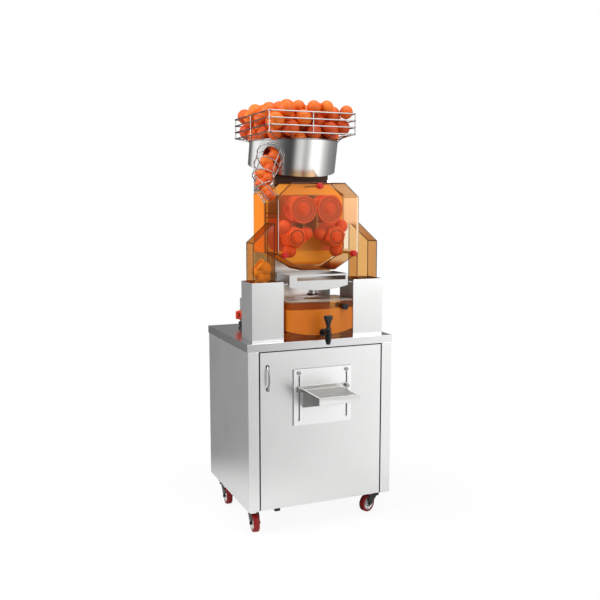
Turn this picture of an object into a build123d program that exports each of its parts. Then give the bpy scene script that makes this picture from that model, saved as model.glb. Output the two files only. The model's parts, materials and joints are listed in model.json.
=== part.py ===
from build123d import *
import math
import os

# All sizes are in millimetres. While it is drawn, the machine has its floor at Z = 0,
# its middle plane at X = 0 and the front edge of the worktop at Y = 0, with the front facing -Y.

# Worktop and cabinet
top_half = 350.0
top_depth = 590.0
top_z = 850.0
fascia = 35.0
sheet = 2.0
wall_inset = 3.0
cabinet_z = 105.0
post_width = 49.0
post_depth = 26.0
post_lip = 22.0
floor_lip = 24.0
feed_rim = 10.0

# Casters: trailing direction and swivel place of each, seen from above
caster_spots = {
    "fl": ((-302.0, 79.0), 264.0),
    "fr": ((296.0, 78.0), 202.0),
    "rl": ((-312.0, 445.0), 266.0),
    "rr": ((312.0, 444.0), 251.0),
}
wheel_dia = 80.0
wheel_width = 28.0
hub_dia = 60.0
hub_width = 30.0
axle_dia = 8.0
trail = 36.0
plate_side = 64.0
plate_thick = 4.0
plate_bolt = 26.0
bolt_head = (11.0, 4.0)
crown_dia = 64.0
race_dia = 46.0
cap_dia = 14.0
kingpin_dia = 12.0
fork_cheek = 3.0

# Door, hinged on pins at its right edge
door_half = 292.0
door_z = (108.0, 810.0)
door_depth = 20.0
pivot_x = 282.0
pivot_y = 10.0
pivot_dia = 10.0
pivot_half = 12.0
pivot_back = 24.0
pivot_block = 12.0
stop_x = -212.0
pull_x = -258.0
pull_z = (647.0, 749.0)
pull_reach = 20.0
pull_wire = 9.0
pull_foot = (17.0, 6.0)

# Glass shelf on the door
plate_half = 139.0
plate_z = (475.0, 727.0)
plate_off = 8.0
slot_x = 115.0
slot_z = (495.0, 700.0)
slot_width = 9.0
hanger_z = 711.0
hanger_dia = 6.0
hanger_head = (17.0, 6.0)
shelf_half = 95.0
shelf_reach = 183.0
shelf_z = 634.0
shelf_lip = 30.0
shelf_gusset = 80.0
shelf_bolt_z = 638.0
shelf_bolt = 8.0
shelf_ear = (11.0, 13.0)
clamp_knob = (18.0, 14.0)
clamp_head = 14.0
grid_thick = 4.0
grid_bars = 13
grid_bar = 4.0
grid_rim = 6.0

# Peel boxes, chutes and bin
box_x = (168.0, 315.0)
box_y = (36.0, 176.0)
box_z = 1108.0
chute_x = (198.0, 300.0)
chute_y = (60.0, 150.0)
chute_low = 1060.0
chute_peak = 1362.0
chute_shoulder = 1277.0
acrylic = 4.0
window_z = (1238.0, 1352.0)
ledge_x = 148.0
ledge_z = 1098.0
bin_half = 304.0
chute_flat = 7.0
chute_tab = ((235.0, 265.0), (1084.0, 1096.0))
bin_y = (46.0, 320.0)
bin_z = (cabinet_z + sheet, 470.0)
bin_wall = 3.0
bin_rim = (10.0, 4.0)

# Juice tank and tap
tank_half = 160.0
tank_back = 200.0
tank_corner_y = 14.0
tank_bulge = 20.0
tank_z = (850.3, 1018.0)
tank_corner = 16.0
tank_floor = 866.0
tank_floor_rise = 18.0
lid_thick = 4.0
lid_hole = 76.0
tap_y = -62.0
tap_z = 884.0
tap_shank = 16.0
spout_z = 839.0
lever_pin_z = 908.0
lever_top = 966.0
lever_width = 48.0
tap_collar = (32.0, 8.0)
tap_nut = (26.0, 9.0)
tap_barrel = 27.0
tap_mouth = 17.0
tap_bore = (11.0, 14.0)
tap_lug = (7.0, 8.0)
tap_pin = 6.0
lever_cheek = (7.5, 12.5)
lever_thick = 16.0
sensor_x = 105.0
sensor_z = 993.0
sensor_stem = 16.0
sensor_head = (28.0, 18.0)
sensor_tip = (24.0, 15.0)
sensor_reach = 70.0

# Sieve tray under the pressing chamber
sieve_half = 141.0
sieve_y = (36.0, 190.0)
sieve_z = (1084.0, 1136.0)
sieve_bow = 18.0
sieve_floor = 1090.0
sieve_slot_z = 1119.0
sieve_slot = (36.0, 12.0, 18.0)
sieve_flange = 16.0
sieve_rest = 10.0
screen_z = 1106.0
screen_thick = 1.5
screen_hole = 8.0
screen_pitch = 18.0
spout_dia = 34.0
spout_low = 1036.0
ring_dia = 50.0

# Body column
body_half = 150.0
body_y = (245.0, 470.0)
body_z = 1555.0
shaft_hole = 36.0
motor_hole = ((-62.0, 62.0), (320.0, 446.0))
vent_half = 60.0
vent_high = 6.0
vents = range(1000, 1120, 16)
drive_flange = (110.0, 8.0)
drive_case = ((100.0, 52.0), (88.0, 110.0), (80.0, 20.0))
drive_bore = 20.0

# Pressing chamber
cover_half = 195.0
cover_top_half = 127.0
cover_foot_half = 78.0
cover_z = (1155.0, 1228.0, 1474.0, 1537.0)
cover_y = (40.0, 194.0)
knob_spots = {"top": (0.0, 1522.0), "left": (-165.0, 1225.0), "right": (165.0, 1225.0)}
knob_dia = 26.0
knob_length = 25.0
stud_dia = 8.0
stud_root = 10.0
back_y = (195.0, 201.0)
back_edge = ((124.0, 1533.0), (190.0, 1472.0), (190.0, 1210.0), (150.0, 1206.0), (78.0, 1168.0))
stands = ((135.0, 1466.0), (30.0, 1190.0))
stand_dia = 16.0
shroud_half = 197.0
shroud_back = 343.0
shroud_side = 1490.0
shroud_top = 1516.0

# Pressing drums: cups above, balls below, one orange between them
pitch_radius = 63.0
drum_radius = 61.0
drum_y = (60.0, 150.0)
cup_radius = 36.0
ball_radius = 30.0
core_flat = 42.0
core_edge = 5.0
upper_z = 1421.0
lower_x = 95.0
ball_phase = 14.0
shaft_dia = 20.0
collar_dia = 30.0
bearing_dia = 32.0
flange_dia = 44.0
nose_nut = (32.0, 11.0)
ring_grooves = (50.0, 34.0)
groove = (3.0, 2.0)
gear_module = 3.0
gear_y = (215.0, 235.0)
gear_play = 0.35
knife_thick = 2.0
knife_z = (1335.0, 1402.0)
knife_step = 20.0
knife_foot = (12.0, 3.0)

# Orange feeder
drum_r = 205.0
drum_centre = (0.0, 362.0, 1615.0)
drum_tilt = 14.2
rim_z = 1727.0
outlet_dia = 92.0
outlet_turn = 49.0
outlet_z = 1653.0
disc_radius = 196.0
disc_notch = 40.0
disc_notches = 6
disc_z = (8.0, 14.0)
spindle_r = 9.0
spindle_low = -17.0
motor_dia = 84.0
motor_length = 92.0
motor_flange = 104.0
seat_thick = 8.0
seat_half = (148.0, 118.0)
seat_cheek = (144.0, 148.0)
seat_y = (262.0, 456.0)
apron_half = 130.0
apron_y = (238.8, 241.8)
apron_z = (1520.0, 1581.0)

# Wire basket and wire orange chute
basket_half = (209.0, 237.0)
basket_y = 338.0
basket_rings = (1755.0, 1785.0, 1815.0, 1845.0)
ring_wire = 6.0
cross_wire = 5.0
floor_ring_r = 206.0
basket_corner = 14.0
run_points = (
    (-132, 238, 1653), (-165, 209, 1653), (-192, 180, 1611),
    (-217, 150, 1566), (-218, 128, 1522), (-188, 112, 1470),
)
run_radii = (60.0, 60.0, 54.0, 47.0, 45.0, 44.0)
run_angles = (-160.0, -110.0, -70.0, -20.0, 25.0, 155.0)
run_rail = 4.0
run_hoop = 4.5
run_foot = (-140.0, 1470.0)

# Control box behind the column, with the switch and mains inlet on its left face
control_x = (-200.0, -40.0)
control_y = (474.0, 545.0)
control_z = 985.0
switch_y = 510.0
switch_z = 905.0
switch_dia = 62.0
switch_plate = 8.0
switch_stem = 14.0
dial = (46.0, 10.0)
dial_grip = (12.0, 38.0, 14.0)
inlet_y = 510.0
inlet_z = 862.0
inlet_flange = (25.0, 11.0, 3.0)
inlet_rim = (17.0, 9.5, 14.0)
inlet_socket = (13.0, 6.5, 10.0)

pin_gap = 0.05
slide_gap = 0.3
far = 2000.0

lower_z = upper_z - math.sqrt(4 * pitch_radius**2 - (lower_x - pitch_radius) ** 2)
front_y = -(top_depth - shelf_reach) / 2


def middle(span):
    return (span[0] + span[1]) / 2


def block(x, y, z):
    """Box between the low and high value on each axis."""
    sizes = [high - low for low, high in (x, y, z)]
    return Pos(middle(x), middle(y), middle(z)) * Box(*sizes)


def along_x(x, y, z, diameter):
    return Pos(middle(x), y, z) * Rot(0, 90, 0) * Cylinder(diameter / 2, x[1] - x[0])


def along_y(x, y, z, diameter):
    return Pos(x, middle(y), z) * Rot(90, 0, 0) * Cylinder(diameter / 2, y[1] - y[0])


def along_z(x, y, z, diameter):
    return Pos(x, y, middle(z)) * Cylinder(diameter / 2, z[1] - z[0])


def front_face(points, y):
    """Plate with an outline in X and Z, between two Y values."""
    return extrude(Plane.XZ.offset(-y[0]) * Polygon(*points, align=None), y[1] - y[0], dir=(0, 1, 0))


def side_face(points, x):
    """Plate with an outline in Y and Z, between two X values."""
    return extrude(Plane.YZ.offset(x[0]) * Polygon(*points, align=None), x[1] - x[0], dir=(1, 0, 0))


def rod(start, end, diameter):
    line = Vector(*end) - Vector(*start)
    base = (Align.CENTER, Align.CENTER, Align.MIN)
    return Plane(origin=start, z_dir=line) * Cylinder(diameter / 2, line.length, align=base)


def wire(points, radius, diameter, close=False):
    path = FilletPolyline(*points, radius=radius, close=close)
    section = Plane(origin=path @ 0, z_dir=path % 0) * Circle(diameter / 2)
    return sweep(section, path=path)


def twin(shape):
    """A piece and its mirror image on the other side of the middle plane."""
    return [shape, mirror(shape, about=Plane.YZ)]


def turned(angle, radius, x, z):
    """Point on a circle in the X-Z plane."""
    return x + radius * math.cos(math.radians(angle)), z + radius * math.sin(math.radians(angle))


def fuse(shapes):
    first, *others = shapes
    return first.fuse(*others) if others else first


nodes = {}


# Worktop and cabinet

def worktop():
    outer = block((-top_half, top_half), (0, top_depth), (top_z - fascia, top_z))
    hollow = block(
        (sheet - top_half, top_half - sheet), (sheet, top_depth - sheet), (top_z - fascia, top_z - sheet)
    )
    hole_x = (box_x[0] + feed_rim, box_x[1] - feed_rim)
    hole_y = (box_y[0] + feed_rim, box_y[1] - feed_rim)
    return outer - hollow - twin(block(hole_x, hole_y, (0, far)))


def cabinet_wrap():
    """One folded sheet: back, two sides and the two front posts."""
    half = top_half - wall_inset
    back = top_depth - wall_inset
    high = top_z - sheet
    low_fascia = top_z - fascia
    side = block((-half, sheet - half), (sheet, back), (cabinet_z, high))
    side -= block((-half, sheet - half), (0, post_depth), (low_fascia, high))
    post_in = half - post_width
    front = block((-half, -post_in), (0, sheet), (cabinet_z, low_fascia))
    inner = block((-post_in - sheet, -post_in), (0, post_depth), (cabinet_z, low_fascia))
    lip = block((-post_in - post_lip, -post_in), (post_depth - sheet, post_depth), (cabinet_z, low_fascia))
    post = fuse([side, front, inner, lip])
    rear = block((-half, half), (back - sheet, back), (cabinet_z, high))
    return fuse([rear, *twin(post)])


def floor_panel():
    half = top_half - wall_inset - sheet
    back = top_depth - wall_inset - sheet
    post_in = top_half - wall_inset - post_width
    thick = (cabinet_z, cabinet_z + sheet)
    panel = block((-half, half), (post_depth, back), thick)
    front = block((-post_in, post_in), (pivot_y - pivot_dia / 2, post_depth), thick)
    lip_y = post_depth + 2 * sheet
    lip = block((-post_in, post_in), (lip_y, lip_y + sheet), (cabinet_z, cabinet_z + floor_lip))
    notches = [block((x - pivot_half, x + pivot_half), (0, pivot_back), thick) for x in (pivot_x, stop_x)]
    return fuse([panel, front, lip]) - notches


nodes["worktop"] = worktop()
nodes["cabinet_wrap"] = cabinet_wrap()
nodes["floor_panel"] = floor_panel()


# Casters, drawn with the swivel axis on Z and the wheel trailing along +X

def caster_place(spot):
    (x, y), turn = spot
    return Pos(x, y, 0) * Rot(0, 0, turn)


def caster_plate():
    z = (cabinet_z - plate_thick, cabinet_z)
    half = plate_side / 2
    plate = block((-half, half), (-half, half), z)
    plate -= along_z(0, 0, z, kingpin_dia + 2 * pin_gap)
    spots = (-plate_bolt, plate_bolt)
    heads = [along_z(x, y, (z[0] - bolt_head[1], z[0]), bolt_head[0]) for x in spots for y in spots]
    return fuse([plate, *heads])


def caster_fork():
    axle_z = wheel_dia / 2
    crown_z = (cabinet_z - plate_thick - 12.0, cabinet_z - plate_thick - 5.0)
    race_top = cabinet_z - plate_thick - 0.5
    cheek_in = hub_width / 2 + 2.0
    cheek = (cheek_in, cheek_in + fork_cheek)
    outline = Polygon(
        (-22.0, crown_z[0] + 1.0), (-20.0, 74.0), (trail - 12.0, axle_z - 6.0), (trail, axle_z - 12.0),
        (trail + 12.0, axle_z), (trail + 6.0, 70.0), (24.0, crown_z[0] + 1.0), align=None,
    )
    leg = extrude(Plane.XZ.offset(-cheek[0]) * outline, fork_cheek, dir=(0, 1, 0))
    legs = [leg, mirror(leg, about=Plane.XZ)]
    axle = along_y(trail, (-cheek[1] - 1.0, cheek[1] + 1.0), axle_z, axle_dia)
    cap = along_y(trail, (cheek[1], cheek[1] + 4.0), axle_z, cap_dia)
    caps = [cap, mirror(cap, about=Plane.XZ)]
    crown = along_z(0, 0, crown_z, crown_dia)
    race = along_z(0, 0, (crown_z[0], race_top), race_dia)
    kingpin = along_z(0, 0, (crown_z[0], cabinet_z - 0.5), kingpin_dia)
    return fuse([crown, race, kingpin, axle, *legs, *caps])


def caster_wheel():
    """Grey hub with a bore, and the red tyre round it with a rounded tread."""
    axle_z = wheel_dia / 2
    edge = wheel_width / 2
    shoulder = wheel_dia / 2 - 4.0
    bore = axle_dia / 2 + pin_gap
    hub = Polygon(
        (bore, -hub_width / 2), (12.0, -hub_width / 2), (14.0, 4.0 - edge), (24.0, 4.0 - edge),
        (hub_dia / 2, 1.0 - edge), (hub_dia / 2, edge - 1.0), (24.0, edge - 4.0), (14.0, edge - 4.0),
        (12.0, hub_width / 2), (bore, hub_width / 2), align=None,
    )
    tread = Polyline((shoulder, -edge), (hub_dia / 2, -edge), (hub_dia / 2, edge), (shoulder, edge))
    crown = ThreePointArc((shoulder, edge), (wheel_dia / 2, 0), (shoulder, -edge))
    tyre = make_face(tread + crown)
    place = Pos(trail, 0, axle_z) * Rot(90, 0, 0)
    return [place * revolve(Plane.XZ * hub, Axis.Z), place * revolve(Plane.XZ * tyre, Axis.Z)]


nodes["caster_plates"] = [Pos(x, y, 0) * caster_plate() for (x, y), turn in caster_spots.values()]
for corner, spot in caster_spots.items():
    nodes[f"caster_fork_{corner}"] = caster_place(spot) * caster_fork()
    nodes[f"caster_wheel_{corner}"] = [caster_place(spot) * solid for solid in caster_wheel()]


# Door and its glass shelf

def door_panel():
    outer = block((-door_half, door_half), (0, door_depth), door_z)
    inner = block(
        (sheet - door_half, door_half - sheet), (sheet, door_depth), (door_z[0] + sheet, door_z[1] - sheet)
    )
    hole = along_z(pivot_x, pivot_y, (0, top_z), pivot_dia + 2 * pin_gap)
    return outer - inner - hole


def door_pivots():
    """Black pivot blocks below and above the door, and the stop block at its free end."""
    x = (pivot_x - pivot_half, pivot_x + pivot_half)
    y = (pivot_y - pivot_dia / 2, pivot_back)
    low_z = (cabinet_z - pivot_block, cabinet_z + sheet)
    lower = fuse([
        block(x, y, low_z),
        along_z(pivot_x, pivot_y, (cabinet_z, door_z[0] + 12.0), pivot_dia),
    ])
    upper = fuse([
        block(x, (sheet, y[1]), (door_z[1] + 5.0, top_z - sheet)),
        along_z(pivot_x, pivot_y, (door_z[1] - 10.0, top_z - fascia), pivot_dia),
    ])
    stop = block((stop_x - pivot_half, stop_x + pivot_half), y, low_z)
    return [lower, upper, stop]


def door_handle():
    low, high = pull_z
    arc = ThreePointArc((0, low), (-pull_reach, middle(pull_z)), (0, high))
    path = Plane.YZ.offset(pull_x) * arc
    bow = sweep(Plane(origin=path @ 0, z_dir=path % 0) * Circle(pull_wire / 2), path=path)
    bow -= block((pull_x - far, pull_x + far), (0, far), (0, far))
    feet = [along_y(pull_x, (-pull_foot[1], 0), z, pull_foot[0]) for z in (low + 1.5, high - 1.5)]
    return fuse([bow, *feet])


def shelf_backplate():
    face_y = (-plate_off, sheet - plate_off)
    face = block((-plate_half, plate_half), face_y, plate_z)
    edge = block((plate_half - sheet, plate_half), (-plate_off, 0), plate_z)
    plate = fuse([face, *twin(edge)])
    mid = (slot_z[0] + slot_width / 2, slot_z[1] - slot_width / 2)
    slot = fuse([
        block((slot_x - slot_width / 2, slot_x + slot_width / 2), face_y, mid),
        *[along_y(slot_x, face_y, z, slot_width) for z in mid],
    ])
    hanger = along_y(slot_x, face_y, hanger_z, hanger_dia)
    return plate - twin(slot) - twin(hanger)


def backplate_screws():
    head = along_y(slot_x, (-plate_off - hanger_head[1], -plate_off), hanger_z, hanger_head[0])
    shank = along_y(slot_x, (-plate_off, 0), hanger_z, hanger_dia)
    return twin(fuse([head, shank]))


def drip_tray():
    back = (-plate_off - slide_gap - sheet, -plate_off - slide_gap)
    front = -shelf_reach
    low_back = shelf_z - shelf_gusset
    low_front = shelf_z - shelf_lip
    gusset = side_face(
        [(back[1], shelf_z), (back[1], low_back), (front, low_front), (front, shelf_z)],
        (shelf_half - sheet, shelf_half),
    )
    lip = block((-shelf_half, shelf_half), (front, front + sheet), (low_front, shelf_z))
    floor = block((-shelf_half, shelf_half), (front, back[1]), (low_front, low_front + sheet))
    wall = block((-shelf_half, shelf_half), back, (low_back, shelf_z))
    ear_x = slot_x + shelf_ear[0]
    ear = block((-ear_x, ear_x), back, (shelf_bolt_z - shelf_ear[1], shelf_bolt_z + shelf_ear[1]))
    rest_z = shelf_z - grid_thick - 0.2
    rest = block((shelf_half - 8.0, shelf_half), (front, back[1]), (rest_z - sheet, rest_z))
    tray = fuse([lip, floor, wall, ear, *twin(gusset), *twin(rest)])
    return tray - twin(along_y(slot_x, back, shelf_bolt_z, shelf_bolt))


def shelf_knobs():
    """Clamping knobs in front of the tray, with bolt heads that slide behind the slots."""
    face = -plate_off - slide_gap - sheet
    knob = along_y(slot_x, (face - clamp_knob[1], face), shelf_bolt_z, clamp_knob[0])
    shank = along_y(slot_x, (face, sheet - plate_off + 1.0), shelf_bolt_z, shelf_bolt)
    head = along_y(slot_x, (sheet - plate_off + slide_gap, -1.0), shelf_bolt_z, clamp_head)
    return twin(fuse([knob, shank, head]))


def drip_grid():
    half = shelf_half - sheet - 1.0
    y = (1.0 + sheet - shelf_reach, -plate_off - slide_gap - sheet - 1.0)
    z = (shelf_z - grid_thick, shelf_z)
    plate = block((-half, half), y, z)
    step = 2 * (half - grid_rim) / grid_bars
    gap = step - grid_bar
    for number in range(grid_bars):
        x = -half + grid_rim + step * (number + 0.5)
        plate -= block((x - gap / 2, x + gap / 2), (y[0] + grid_rim, y[1] - grid_rim), z)
    return plate


nodes["door_panel"] = door_panel()
nodes["door_pivots"] = door_pivots()
nodes["door_handle"] = door_handle()
nodes["shelf_backplate"] = shelf_backplate()
nodes["backplate_screws"] = backplate_screws()
nodes["drip_tray"] = drip_tray()
nodes["shelf_knobs"] = shelf_knobs()
nodes["drip_grid"] = drip_grid()


# Peel boxes, amber chutes and the bin in the cabinet

def peel_box():
    z = (top_z, box_z)
    shell = block(box_x, box_y, z)
    shell -= block((box_x[0] + sheet, box_x[1] - sheet), (box_y[0] + sheet, box_y[1] - sheet), z)
    ledge = block((ledge_x, box_x[0]), (box_y[0] + 4.0, box_y[1]), (ledge_z - sheet, ledge_z))
    return fuse([shell, ledge])


def peel_chute():
    outline = [
        (chute_x[0], chute_low), (chute_x[1], chute_low), (chute_x[1], chute_shoulder),
        (chute_x[0] + chute_flat, chute_peak), (chute_x[0], chute_peak),
    ]
    slope = (chute_peak - chute_shoulder) / (chute_x[1] - chute_x[0] - chute_flat)
    inner_x = (chute_x[0] + acrylic, chute_x[1] - acrylic)
    drop = acrylic * math.hypot(1, slope)
    inside = [
        (chute_x[0] - 1.0, chute_low - 1.0), (inner_x[1], chute_low - 1.0),
        (inner_x[1], chute_shoulder + acrylic * slope - drop),
        (chute_x[0] + chute_flat, chute_peak - drop), (chute_x[0] - 1.0, chute_peak - drop),
    ]
    shell = front_face(outline, chute_y)
    shell -= front_face(inside, (chute_y[0] + acrylic, chute_y[1] - acrylic))
    wall = block((chute_x[0], inner_x[0]), chute_y, (chute_low, window_z[0] - 4.0))
    tab = block(chute_tab[0], (chute_y[1] - acrylic, box_y[1] - sheet), chute_tab[1])
    return fuse([shell, wall, tab])


def peel_bin():
    outer = block((-bin_half, bin_half), bin_y, bin_z)
    inner_x = (bin_wall - bin_half, bin_half - bin_wall)
    inner = block(inner_x, (bin_y[0] + bin_wall, bin_y[1] - bin_wall), (bin_z[0] + bin_wall, bin_z[1]))
    reach, thick = bin_rim
    rim_x = bin_half + reach
    rim = block((-rim_x, rim_x), (bin_y[0] - reach, bin_y[1] + reach), (bin_z[1] - thick, bin_z[1]))
    return fuse([outer, rim]) - inner


nodes["peel_boxes"] = twin(peel_box())
nodes["peel_chutes"] = twin(peel_chute())
nodes["peel_bin"] = peel_bin()


# Juice tank with its tap and level sensor

def tank_outline(grow):
    """Rounded outline with a bulged front, grown or shrunk evenly."""
    side = tank_half + grow
    back = tank_back + grow
    corner = tank_corner_y - grow
    walls = Polyline((side, corner), (side, back), (-side, back), (-side, corner))
    front = ThreePointArc((-side, corner), (0, corner - tank_bulge), (side, corner))
    return fillet(make_face(walls + front).vertices(), tank_corner + grow)


def tank_front(x):
    """Y of the outside of the bulged front at a given X."""
    radius = (tank_half**2 + tank_bulge**2) / (2 * tank_bulge)
    return tank_corner_y - tank_bulge + radius - math.sqrt(radius**2 - x**2)


def juice_tank():
    low, high = tank_z
    shell = extrude(Pos(0, 0, low) * tank_outline(0), high - low)
    hollow = extrude(Pos(0, 0, low) * tank_outline(-acrylic), high - low)
    ends = tank_floor + tank_floor_rise
    below = ends - acrylic
    curve = ThreePointArc((-tank_half, ends), (0, tank_floor), (tank_half, ends))
    under = ThreePointArc((tank_half, below), (0, tank_floor - acrylic), (-tank_half, below))
    sides = [Line((tank_half, ends), (tank_half, below)), Line((-tank_half, below), (-tank_half, ends))]
    section = Plane.XZ.offset(tank_half) * make_face(curve + under + sides)
    dished = extrude(section, 3 * tank_half, dir=(0, 1, 0))
    tank = fuse([shell - hollow, dished & hollow])
    through = (-tank_half, tank_back / 2)
    tank -= along_y(0, through, tap_z, tap_shank)
    return tank - along_y(sensor_x, through, sensor_z, sensor_stem)


def tank_lid():
    lid = extrude(Pos(0, 0, tank_z[1]) * tank_outline(1.0), lid_thick)
    spout_y = middle(sieve_y)
    return lid - along_z(0, spout_y, (0, far), lid_hole)


def tap_body():
    front = tank_front(0)
    inside = front + acrylic
    shank = along_y(0, (tap_y, inside + 2 * tap_nut[1]), tap_z, tap_shank)
    collar = along_y(0, (front - tap_collar[1], front), tap_z, tap_collar[0])
    nut = along_y(0, (inside + slide_gap, inside + tap_nut[1]), tap_z, tap_nut[0])
    cone = 18.0
    half, round_r = tap_lug
    barrel = along_z(0, tap_y, (spout_z + cone, lever_pin_z - round_r - 1.5), tap_barrel)
    spout = Pos(0, tap_y, spout_z + cone / 2) * Rot(180, 0, 0) * Cone(tap_barrel / 2, tap_mouth / 2, cone)
    lug = fuse([
        block((-half, half), (tap_y - round_r, tap_y + round_r), (lever_pin_z - round_r - 2.0, lever_pin_z)),
        along_x((-half, half), tap_y, lever_pin_z, 2 * round_r),
    ])
    pin = along_x((-2 * half, 2 * half), tap_y, lever_pin_z, tap_pin)
    bore = along_z(0, tap_y, (0, spout_z + tap_bore[1]), tap_bore[0])
    return fuse([shank, collar, nut, barrel, spout, lug, pin]) - bore


def tap_handle():
    """Paddle lever on a forked root that straddles the lug."""
    y = (tap_y - lever_thick / 2, tap_y + lever_thick / 2)
    root_z = lever_pin_z + 10.0
    cheek = fuse([
        block(lever_cheek, y, (lever_pin_z, root_z + 4.0)),
        along_x(lever_cheek, tap_y, lever_pin_z, lever_thick),
    ])
    half = lever_width / 2
    right = [(lever_cheek[1], root_z), (13.0, lever_top - 32.0), (half, lever_top - 12.0), (half, lever_top)]
    paddle = front_face(right + [(-x, z) for x, z in reversed(right)], y)
    handle = fuse([paddle, *twin(cheek)])
    return handle - along_x((-half, half), tap_y, lever_pin_z, tap_pin + 2 * pin_gap)


def level_sensor():
    front = tank_front(sensor_x)
    face = front - 3.0
    end = front + sensor_reach
    head = along_y(sensor_x, (face - sensor_head[1], face), sensor_z, sensor_head[0])
    stem = along_y(sensor_x, (face, end), sensor_z, sensor_stem)
    tip = along_y(sensor_x, (end - sensor_tip[1], end), sensor_z, sensor_tip[0])
    return fuse([head, stem, tip])


nodes["juice_tank"] = juice_tank()
nodes["tank_lid"] = tank_lid()
nodes["tap_body"] = tap_body()
nodes["tap_handle"] = tap_handle()
nodes["level_sensor"] = level_sensor()


# Sieve tray

def sieve_tray():
    low, high = sieve_z
    face_y = (sieve_y[0], sieve_y[0] + sheet)
    edge = Polyline((sieve_half, low), (sieve_half, high), (-sieve_half, high), (-sieve_half, low))
    bow = ThreePointArc((-sieve_half, low), (0, low - sieve_bow), (sieve_half, low))
    face = extrude(Plane.XZ.offset(-face_y[0]) * make_face(edge + bow), sheet, dir=(0, 1, 0))
    from_left, from_right, tall = sieve_slot
    slot_span = (sieve_slot_z - tall / 2, sieve_slot_z + tall / 2)
    slot = block((-sieve_half + from_left, sieve_half - from_right), face_y, slot_span)
    walls = block((-sieve_half, sieve_half), sieve_y, (sieve_floor, high))
    inner = (sieve_y[0] + sheet, sieve_y[1] - sheet)
    walls -= block((sheet - sieve_half, sieve_half - sheet), inner, (sieve_floor + sheet, high))
    flange_z = ledge_z + 0.2
    flange_x = (sieve_half, sieve_half + sieve_flange)
    flange = block(flange_x, (sieve_y[0] + 8.0, sieve_y[1]), (flange_z, flange_z + sheet))
    rest = block((sieve_half - sieve_rest, sieve_half), sieve_y, (screen_z - sheet, screen_z))
    centre_y = middle(sieve_y)
    spout = along_z(0, centre_y, (spout_low, sieve_floor), spout_dia)
    tray = fuse([walls, face, *twin(flange), *twin(rest), spout]) - slot
    return tray - along_z(0, centre_y, (spout_low, sieve_floor + sheet), spout_dia - 2 * sheet)


def sieve_screen():
    half = sieve_half - sheet - 0.5
    y = (sieve_y[0] + sheet + 0.5, sieve_y[1] - sheet - 0.5)
    z = (screen_z, screen_z + screen_thick)
    columns = int(2 * half / screen_pitch) - 1
    rows = int((y[1] - y[0]) / screen_pitch) - 1
    across = [screen_pitch * (column - (columns - 1) / 2) for column in range(columns)]
    along = [middle(y) + screen_pitch * (row - (rows - 1) / 2) for row in range(rows)]
    holes = [along_z(hole_x, hole_y, z, screen_hole) for hole_x in across for hole_y in along]
    return block((-half, half), y, z) - holes


def spout_ring():
    z = (spout_low + 2.0, spout_low + 8.0)
    centre_y = middle(sieve_y)
    return along_z(0, centre_y, z, ring_dia) - along_z(0, centre_y, z, spout_dia)


nodes["sieve_tray"] = sieve_tray()
nodes["sieve_screen"] = sieve_screen()
nodes["spout_ring"] = spout_ring()


# Body column with the drive motor

def body_shell():
    x = (-body_half, body_half)
    outer = block(x, body_y, (top_z, body_z))
    inner = block(
        (sheet - body_half, body_half - sheet), (body_y[0] + sheet, body_y[1]), (top_z, body_z - sheet)
    )
    shell = outer - inner - along_y(pitch_radius, body_y, upper_z, shaft_hole)
    return shell - block(*motor_hole, (body_z - sheet, body_z))


def rear_cover():
    y = (body_y[1], body_y[1] + sheet)
    plate = block((-body_half, body_half), y, (top_z, body_z))
    return plate - [block((-vent_half, vent_half), y, (z, z + vent_high)) for z in vents]


def drive_motor():
    """Gearmotor on a square flange, its hollow output round the driven shaft."""
    y = body_y[0] + sheet
    bore = along_y(pitch_radius, (y, y + drive_bore), upper_z, shaft_dia + 2 * pin_gap)
    side, thick = drive_flange
    half = side / 2
    across = (pitch_radius - half, pitch_radius + half)
    sections = [block(across, (y, y + thick), (upper_z - half, upper_z + half))]
    y += thick
    for diameter, length in drive_case:
        sections.append(along_y(pitch_radius, (y, y + length), upper_z, diameter))
        y += length
    return fuse(sections) - bore


nodes["body_shell"] = body_shell()
nodes["rear_cover"] = rear_cover()
nodes["drive_motor"] = drive_motor()


# Pressing chamber

shaft_spots = {
    "upper_left": (-pitch_radius, upper_z),
    "upper_right": (pitch_radius, upper_z),
    "lower_left": (-lower_x, lower_z),
    "lower_right": (lower_x, lower_z),
}


def chamber_back_plate():
    """Bored plate, the stand-offs behind it and the cover studs in front of it."""
    plate = front_face([*back_edge, *((-x, z) for x, z in reversed(back_edge))], back_y)
    for x, z in shaft_spots.values():
        plate -= along_y(x, back_y, z, bearing_dia)
    legs = []
    for x, z in stands:
        legs += twin(along_y(x, (back_y[1], body_y[0]), z, stand_dia))
    shoulder = cover_y[0] + acrylic + 2.0
    studs = []
    for x, z in knob_spots.values():
        studs.append(along_y(x, (shoulder, back_y[0]), z, stud_root))
        studs.append(along_y(x, (cover_y[0] - 18.0, shoulder), z, stud_dia))
    return [plate, *legs, *studs]


def shaft_bearing(x, z):
    flange = along_y(x, (back_y[0] - 4.0, back_y[0]), z, flange_dia)
    bush = along_y(x, (back_y[0] - 4.0, back_y[1] + 8.0), z, bearing_dia)
    return fuse([flange, bush]) - along_y(x, (0, far), z, shaft_dia + 2 * pin_gap)


def rim_planes(x, z, phase):
    """Planes at the three pitch points of a drum, facing outwards."""
    planes = []
    for number in range(3):
        rim_x, rim_z = turned(phase + 120 * number, pitch_radius, x, z)
        planes.append(Plane((rim_x, middle(drum_y), rim_z), x_dir=(0, 1, 0), z_dir=(rim_x - x, 0, rim_z - z)))
    return planes


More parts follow.
